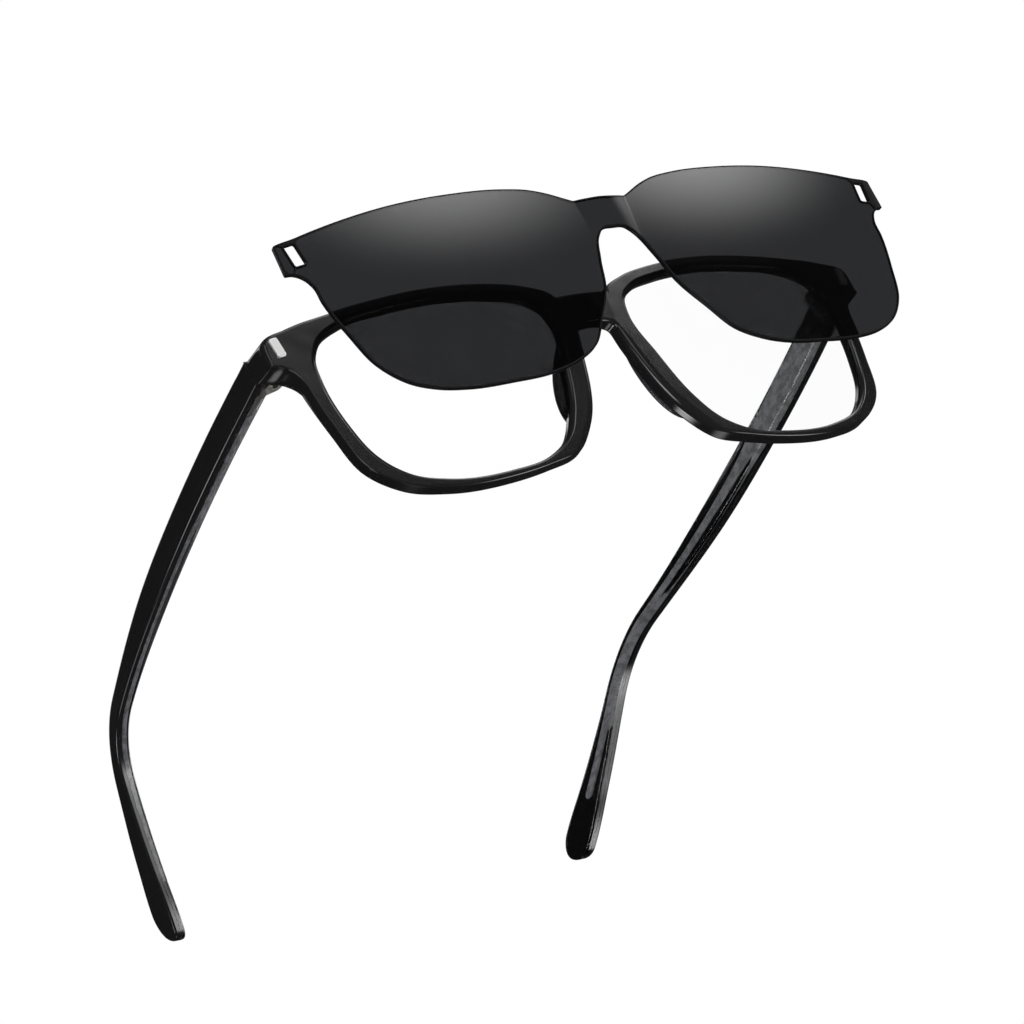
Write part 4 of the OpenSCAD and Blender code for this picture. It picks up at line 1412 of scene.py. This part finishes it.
def clear_lens(c):
    """Clear lens with the faintest smear."""
    f = new_finish("clear_lens")
    smear = f.grain(scale=60, detail=3, stretch=(1, 1, 0.4))
    f.surface({"Base Color": f.between(smear, shade(c.lens, 0.99), c.lens),
               "Roughness": smear * 0.012,
               "IOR": 1.35, "Transmission Weight": 1.0})


def dark_shield(c):
    """Dark sun lens, and its polished edge, which looks black because it is seen lengthwise."""
    f = new_finish("dark_shield")
    smear = f.grain(scale=45, detail=3, stretch=(1, 1, 0.5))
    f.surface({"Base Color": f.between(smear, shade(c.shield, 0.97), shade(c.shield, 1.03)),
               "Roughness": 0.012 + smear * 0.02,
               "IOR": 1.5, "Transmission Weight": 1.0})
    f = new_finish("dark_shield_edge")
    cut = f.grain(scale=1500, detail=2, stretch=(1, 1, 0.2))
    f.surface({"Base Color": f.between(cut, (0.002, 0.002, 0.002), (0.006, 0.006, 0.007)),
               "Roughness": 0.30 + cut * 0.15, "IOR": 1.2,
               "Normal": f.bump(cut, strength=0.06, distance=0.0002)})


def brushed(name, colour, rough, scale, stretch, depth, metallic=1.0):
    """Brushed metal whose lines run along one axis."""
    f = new_finish(name)
    lines = f.grain(scale=scale, detail=4, stretch=stretch, rough=0.7)
    cloud = f.grain(scale=300, detail=2)
    f.surface({"Base Color": f.between(cloud, shade(colour, 0.9), shade(colour, 1.06)),
               "Metallic": metallic, "Roughness": rough + lines * 0.16,
               "Normal": f.bump(lines, strength=0.25, distance=depth)})


def core_metal(c):
    """Rolled metal core: fine cross ribs over brushed metal, with painted highlights on the ribs' crests
    and painted glints in lighter flecks and patches of its colour.
    """
    s = spectacle_sizes()
    f = new_finish("core_metal")
    place = f.node("ShaderNodeTexCoord", output="Object")
    lean, _ = stance(s)
    along_core = f.node("ShaderNodeMapping", {}, {
        "Vector": place, "Rotation": (math.radians(s.temple_pitch - lean), 0, 0)})
    back = f.node("ShaderNodeSeparateXYZ", {}, {0: along_core}, output="Y")
    turns = 2 * math.pi / (s.rib_pitch * MM)
    waver = f.grain(scale=900, detail=2) * 5.0
    wave = f.node("ShaderNodeMath", {"operation": "SINE"}, {0: back * turns + waver})
    fleck = f.grain(scale=2600, detail=3, stretch=(1, 0.4, 1))
    patch = f.grain(scale=640, detail=4, stretch=(1, 0.6, 1), rough=0.7)
    patch = f.node("ShaderNodeMapRange", {"interpolation_type": "SMOOTHSTEP"}, {
        "Value": patch, "From Min": 0.38, "From Max": 0.62, "To Min": 0.0, "To Max": 0.75})
    # Painted highlight and glints: the ribs' crests, the flecks and the patches lighten the colour, and
    # the same sum gives the ribs' relief
    ribs_and_painted_glints = wave * 0.08 + fleck * 0.5 + patch - 0.1
    f.surface({"Base Color": f.between(ribs_and_painted_glints, shade(c.core, 0.62), shade(c.core, 1.4)),
               "Metallic": 0.1, "Roughness": 0.34 + fleck * 0.25,
               "Normal": f.bump(ribs_and_painted_glints, strength=0.5, distance=0.00012)})


def paint_finishes():
    """Makes every finish from the colours of the panel."""
    c = bpy.context.scene.spectacle_finishes
    black_acetate(c)
    crystal_acetate(c)
    smoke_acetate(c)
    clear_lens(c)
    dark_shield(c)
    brushed("silver_plaque", c.silver, rough=0.30, scale=1400, stretch=(1, 1, 0.06), depth=0.00006,
            metallic=0.7)
    brushed("nickel_hinge", c.nickel, rough=0.24, scale=1800, stretch=(1, 0.15, 1), depth=0.00008,
            metallic=0.6)
    brushed("screw_steel", c.steel, rough=0.18, scale=2200, stretch=(1, 1, 1), depth=0.00006)
    core_metal(c)


# Stage

def camera_matrix(s, studio):
    """Place and turn of the camera in the ground frame."""
    lean, height = stance(s)
    eye = turn_x(np.array(studio.eye) / MM, lean) + [0, 0, height]
    aim = turn_x(np.array(studio.aim) / MM, lean) + [0, 0, height]
    up = turn_x(np.array([0.0, 0.0, 1.0]), lean)
    view = unit(aim - eye)
    right = unit(np.cross(view, up))
    top = np.cross(right, view)
    c, n = math.cos(studio.roll), math.sin(studio.roll)
    right, top = right * c - top * n, top * c + right * n
    found = Matrix.Identity(4)
    for row in range(3):
        found[row][0], found[row][1], found[row][2] = right[row], top[row], -view[row]
        found[row][3] = eye[row] * MM
    return found


def build_camera(s, studio):
    """The camera at the photograph's angle."""
    data = bpy.data.cameras.new("studio_camera")
    data.lens, data.sensor_width = studio.lens, 36.0
    data.clip_start, data.clip_end = 0.01, 50.0
    camera = bpy.data.objects.new("studio_camera", data)
    bpy.context.scene.collection.objects.link(camera)
    camera.matrix_world = camera_matrix(s, studio)
    bpy.context.scene.camera = camera


# Soft boxes that gloss shows: bearing from straight ahead, height, half width and half height,
# tilt (all in degrees), squareness, share of the size over which the glow fades, and strength
SOFT_BOXES = [
    (30.7, 27.9, 8.6, 1.75, -5, 2, 1.0, 4.9),
    (51.4, 26.8, 8.8, 1.75, -5, 2, 1.0, 4.5),
    (48.0, 28.2, 5.0, 1.9, 0, 2, 0.7, 10.0),
    (20.5, 30.7, 7.0, 3.2, 0, 4, 0.3, 3.4),
    (-23, 24, 13, 24, 0, 4, 0.5, 1.4),
    (74, 22, 7, 9, 0, 2, 0.8, 3.0),
    (62, 58, 30, 16, 0, 4, 0.6, 2.4),
    (178, 40, 16, 26, 0, 4, 0.8, 1.4),
    (-57, -12, 15, 21, 0, 2, 0.8, 6.0),
    (-131, -31, 9, 10, 0, 2, 0.8, 10.0),
    (178, -47, 18, 9, 0, 2, 0.8, 1.8),
    (62, -47, 24, 14, 0, 2, 0.8, 6.0),
]


def soft_box(f, ray, lean, box):
    """Glow of one soft box in the world, with a soft border."""
    bearing, height, wide, high, tilt, square, fade, strength = box
    a, e, t = (math.radians(v) for v in (bearing, height, tilt))
    ahead = np.array([math.sin(a) * math.cos(e), -math.cos(a) * math.cos(e), math.sin(e)])
    right = np.array([math.cos(a), math.sin(a), 0.0])
    up = np.cross(ahead, right)
    right, up = right * math.cos(t) + up * math.sin(t), up * math.cos(t) - right * math.sin(t)

    def share(axis, size):
        scaled = turn_x(axis, lean) / math.sin(math.radians(size))
        return f.node("ShaderNodeVectorMath", {"operation": "DOT_PRODUCT"},
                      {0: ray, 1: tuple(float(v) for v in scaled)}, output="Value")

    across, over, facing = share(right, wide), share(up, high), share(ahead, 90)
    out = (across ** square + over ** square) ** (1 / square)
    glow = f.node("ShaderNodeMapRange", {"interpolation_type": "SMOOTHERSTEP"}, {
        "Value": out, "From Min": 1.0, "From Max": 1.0 - fade, "To Min": 0.0, "To Max": strength})
    return glow * f.node("ShaderNodeMath", {"operation": "GREATER_THAN"}, {0: facing, 1: 0.0})


def build_world(s):
    """A white background, and the soft boxes that gloss and metal show."""
    world = bpy.data.worlds.new("studio_world")
    bpy.context.scene.world = world
    world.use_nodes = True
    f = Finish(world.node_tree)
    ray = f.node("ShaderNodeTexCoord", output="Generated")
    seen = f.node("ShaderNodeLightPath", output="Is Camera Ray")
    through = f.node("ShaderNodeLightPath", output="Is Transmission Ray")
    glossy, scattered = (
        f.node("ShaderNodeMath", {"operation": "MINIMUM"}, {
            0: f.node("ShaderNodeLightPath", output=depth), 1: 1.0})
        for depth in ("Glossy Depth", "Diffuse Depth"))
    lean, _ = stance(s)
    # Glow of the world beside the soft boxes, behind a clear piece, and for light that spreads
    glow, clear_glow, fill = 0.03, 1.06, 0.4
    for box in SOFT_BOXES:
        glow = soft_box(f, ray, lean, box) + glow
    clear = through * (1 - glossy) * (1 - scattered)
    shining = glossy * (1 - scattered)
    strength = seen + clear * clear_glow + (1 - seen - clear) * (shining * glow + (1 - shining) * fill)
    background = f.node("ShaderNodeBackground", {}, {"Color": (1, 1, 1, 1), "Strength": strength})
    f.node("ShaderNodeOutputWorld", {}, {"Surface": background})


def build_floor(studio, c):
    """A pale floor far below, white to the camera and open to gloss, that keeps the shadow."""
    reach, steps = 6.0, 12
    line = np.linspace(-reach, reach, steps)
    points = [(x, y, -studio.floor_drop) for y in line for x in line]
    faces = [(j * steps + i, j * steps + i + 1, (j + 1) * steps + i + 1, (j + 1) * steps + i)
             for j in range(steps - 1) for i in range(steps - 1)]
    mesh = bpy.data.meshes.new("studio_floor")
    mesh.from_pydata(points, [], faces)
    f = new_finish("studio_floor")
    grain = f.grain(scale=6, detail=3)
    seen, through, shining = (f.node("ShaderNodeLightPath", output=kind)
                              for kind in ("Is Camera Ray", "Is Transmission Ray", "Is Glossy Ray"))
    pale = f.node("ShaderNodeBsdfPrincipled", {}, {
        "Base Color": f.between(grain, shade(c.floor, 0.985), c.floor), "Roughness": 0.6 + grain * 0.1})
    glow = f.node("ShaderNodeEmission", {}, {"Color": (1, 1, 1, 1), "Strength": 1.02})
    white = f.node("ShaderNodeMixShader", {}, {0: 0.75, 1: pale, 2: glow})
    mixed = f.node("ShaderNodeMixShader", {}, {0: seen + through, 1: pale, 2: white})
    nothing = f.node("ShaderNodeBsdfTransparent")
    mixed = f.node("ShaderNodeMixShader", {}, {0: shining, 1: mixed, 2: nothing})
    f.node("ShaderNodeOutputMaterial", {}, {"Surface": mixed})
    mesh.materials.append(finish_of("studio_floor"))
    floor = bpy.data.objects.new("studio_floor", mesh)
    bpy.context.scene.collection.objects.link(floor)


def build_lamps():
    """Large soft lamps over, beside and under the object."""
    for name, place, size, power in (
            ("lamp_over", (0.3, -0.2, 1.6), 1.2, 8),
            ("lamp_left", (-1.4, 0.3, 0.5), 0.9, 3),
            ("lamp_front", (-0.38, -1.28, -0.5), 0.7, 42)):
        data = bpy.data.lights.new(name, "AREA")
        data.size = size
        data.energy = power
        lamp = bpy.data.objects.new(name, data)
        bpy.context.scene.collection.objects.link(lamp)
        lamp.location = place
        aim = Vector((0, 0.05, 0.02)) - Vector(place)
        lamp.rotation_euler = aim.to_track_quat("-Z", "Y").to_euler()
        lamp.visible_glossy = False
        lamp.visible_transmission = False


class SPECTACLES_OT_finishes(bpy.types.Operator):
    """Make the finishes of the spectacles"""
    bl_idname = "spectacles.finishes"
    bl_label = "Finishes"

    def execute(self, context):
        paint_finishes()
        return {"FINISHED"}


class SPECTACLES_OT_front(bpy.types.Operator):
    """Build the front with its rims, bridge and end pieces"""
    bl_idname = "spectacles.front"
    bl_label = "Front"

    def execute(self, context):
        build_front()
        return {"FINISHED"}


class SPECTACLES_OT_lenses(bpy.types.Operator):
    """Build the two clear lenses"""
    bl_idname = "spectacles.lenses"
    bl_label = "Lenses"

    def execute(self, context):
        build_lenses()
        return {"FINISHED"}


class SPECTACLES_OT_nose_pads(bpy.types.Operator):
    """Build the two nose pads"""
    bl_idname = "spectacles.nose_pads"
    bl_label = "Nose pads"

    def execute(self, context):
        build_nose_pads()
        return {"FINISHED"}


class SPECTACLES_OT_plaques(bpy.types.Operator):
    """Build the silver plaques"""
    bl_idname = "spectacles.plaques"
    bl_label = "Plaques"

    def execute(self, context):
        build_plaques()
        return {"FINISHED"}


class SPECTACLES_OT_hinges(bpy.types.Operator):
    """Build the hinges and their screws"""
    bl_idname = "spectacles.hinges"
    bl_label = "Hinges"

    def execute(self, context):
        build_hinges()
        return {"FINISHED"}


class SPECTACLES_OT_temples(bpy.types.Operator):
    """Build the layers and the metal cores of the temples"""
    bl_idname = "spectacles.temples"
    bl_label = "Temples"

    def execute(self, context):
        build_temple_layers()
        build_cores()
        return {"FINISHED"}


class SPECTACLES_OT_shield(bpy.types.Operator):
    """Build the dark clip-on shield"""
    bl_idname = "spectacles.shield"
    bl_label = "Clip-on shield"

    def execute(self, context):
        build_shield()
        return {"FINISHED"}


class SPECTACLES_OT_stage(bpy.types.Operator):
    """Set up the camera, the lamps, the white background and the floor"""
    bl_idname = "spectacles.stage"
    bl_label = "Stage"

    def execute(self, context):
        scene = context.scene
        s = spectacle_sizes()
        build_camera(s, scene.spectacle_studio)
        build_world(s)
        build_floor(scene.spectacle_studio, scene.spectacle_finishes)
        build_lamps()
        scene.view_settings.view_transform = "Standard"
        return {"FINISHED"}


STEPS = ("finishes", "front", "lenses", "nose_pads", "plaques", "hinges", "temples", "shield", "stage")
GROUPS = {"spectacle_front": SpectacleFrontSizes, "spectacle_hinges": SpectacleHingeSizes,
          "spectacle_temples": SpectacleTempleSizes, "spectacle_shield": SpectacleShieldSizes,
          "spectacle_finishes": SpectacleFinishes, "spectacle_studio": SpectacleStudio}


class SPECTACLES_PT_panel(bpy.types.Panel):
    """Sizes, colours and steps of the spectacles"""
    bl_idname = "SPECTACLES_PT_panel"
    bl_label = "Spectacles"
    bl_space_type = "VIEW_3D"
    bl_region_type = "UI"
    bl_category = "Spectacles"

    def draw(self, context):
        for step in STEPS:
            self.layout.operator("spectacles." + step)
        for name, group in GROUPS.items():
            box = self.layout.box()
            for key in group.__annotations__:
                box.prop(getattr(context.scene, name), key)


CLASSES = (*GROUPS.values(), SPECTACLES_OT_finishes, SPECTACLES_OT_front, SPECTACLES_OT_lenses,
           SPECTACLES_OT_nose_pads, SPECTACLES_OT_plaques, SPECTACLES_OT_hinges, SPECTACLES_OT_temples,
           SPECTACLES_OT_shield, SPECTACLES_OT_stage, SPECTACLES_PT_panel)


def register():
    """Registers the classes and hangs their groups on the scene."""
    for found in CLASSES:
        bpy.utils.register_class(found)
    for name, group in GROUPS.items():
        setattr(bpy.types.Scene, name, bpy.props.PointerProperty(type=group))


def unregister():
    """Takes the groups and classes away again."""
    for name in GROUPS:
        delattr(bpy.types.Scene, name)
    for found in reversed(CLASSES):
        bpy.utils.unregister_class(found)


def main():
    """Builds everything."""
    register()
    for step in STEPS:
        getattr(bpy.ops.spectacles, step)()


if __name__ == "__main__":
    main()
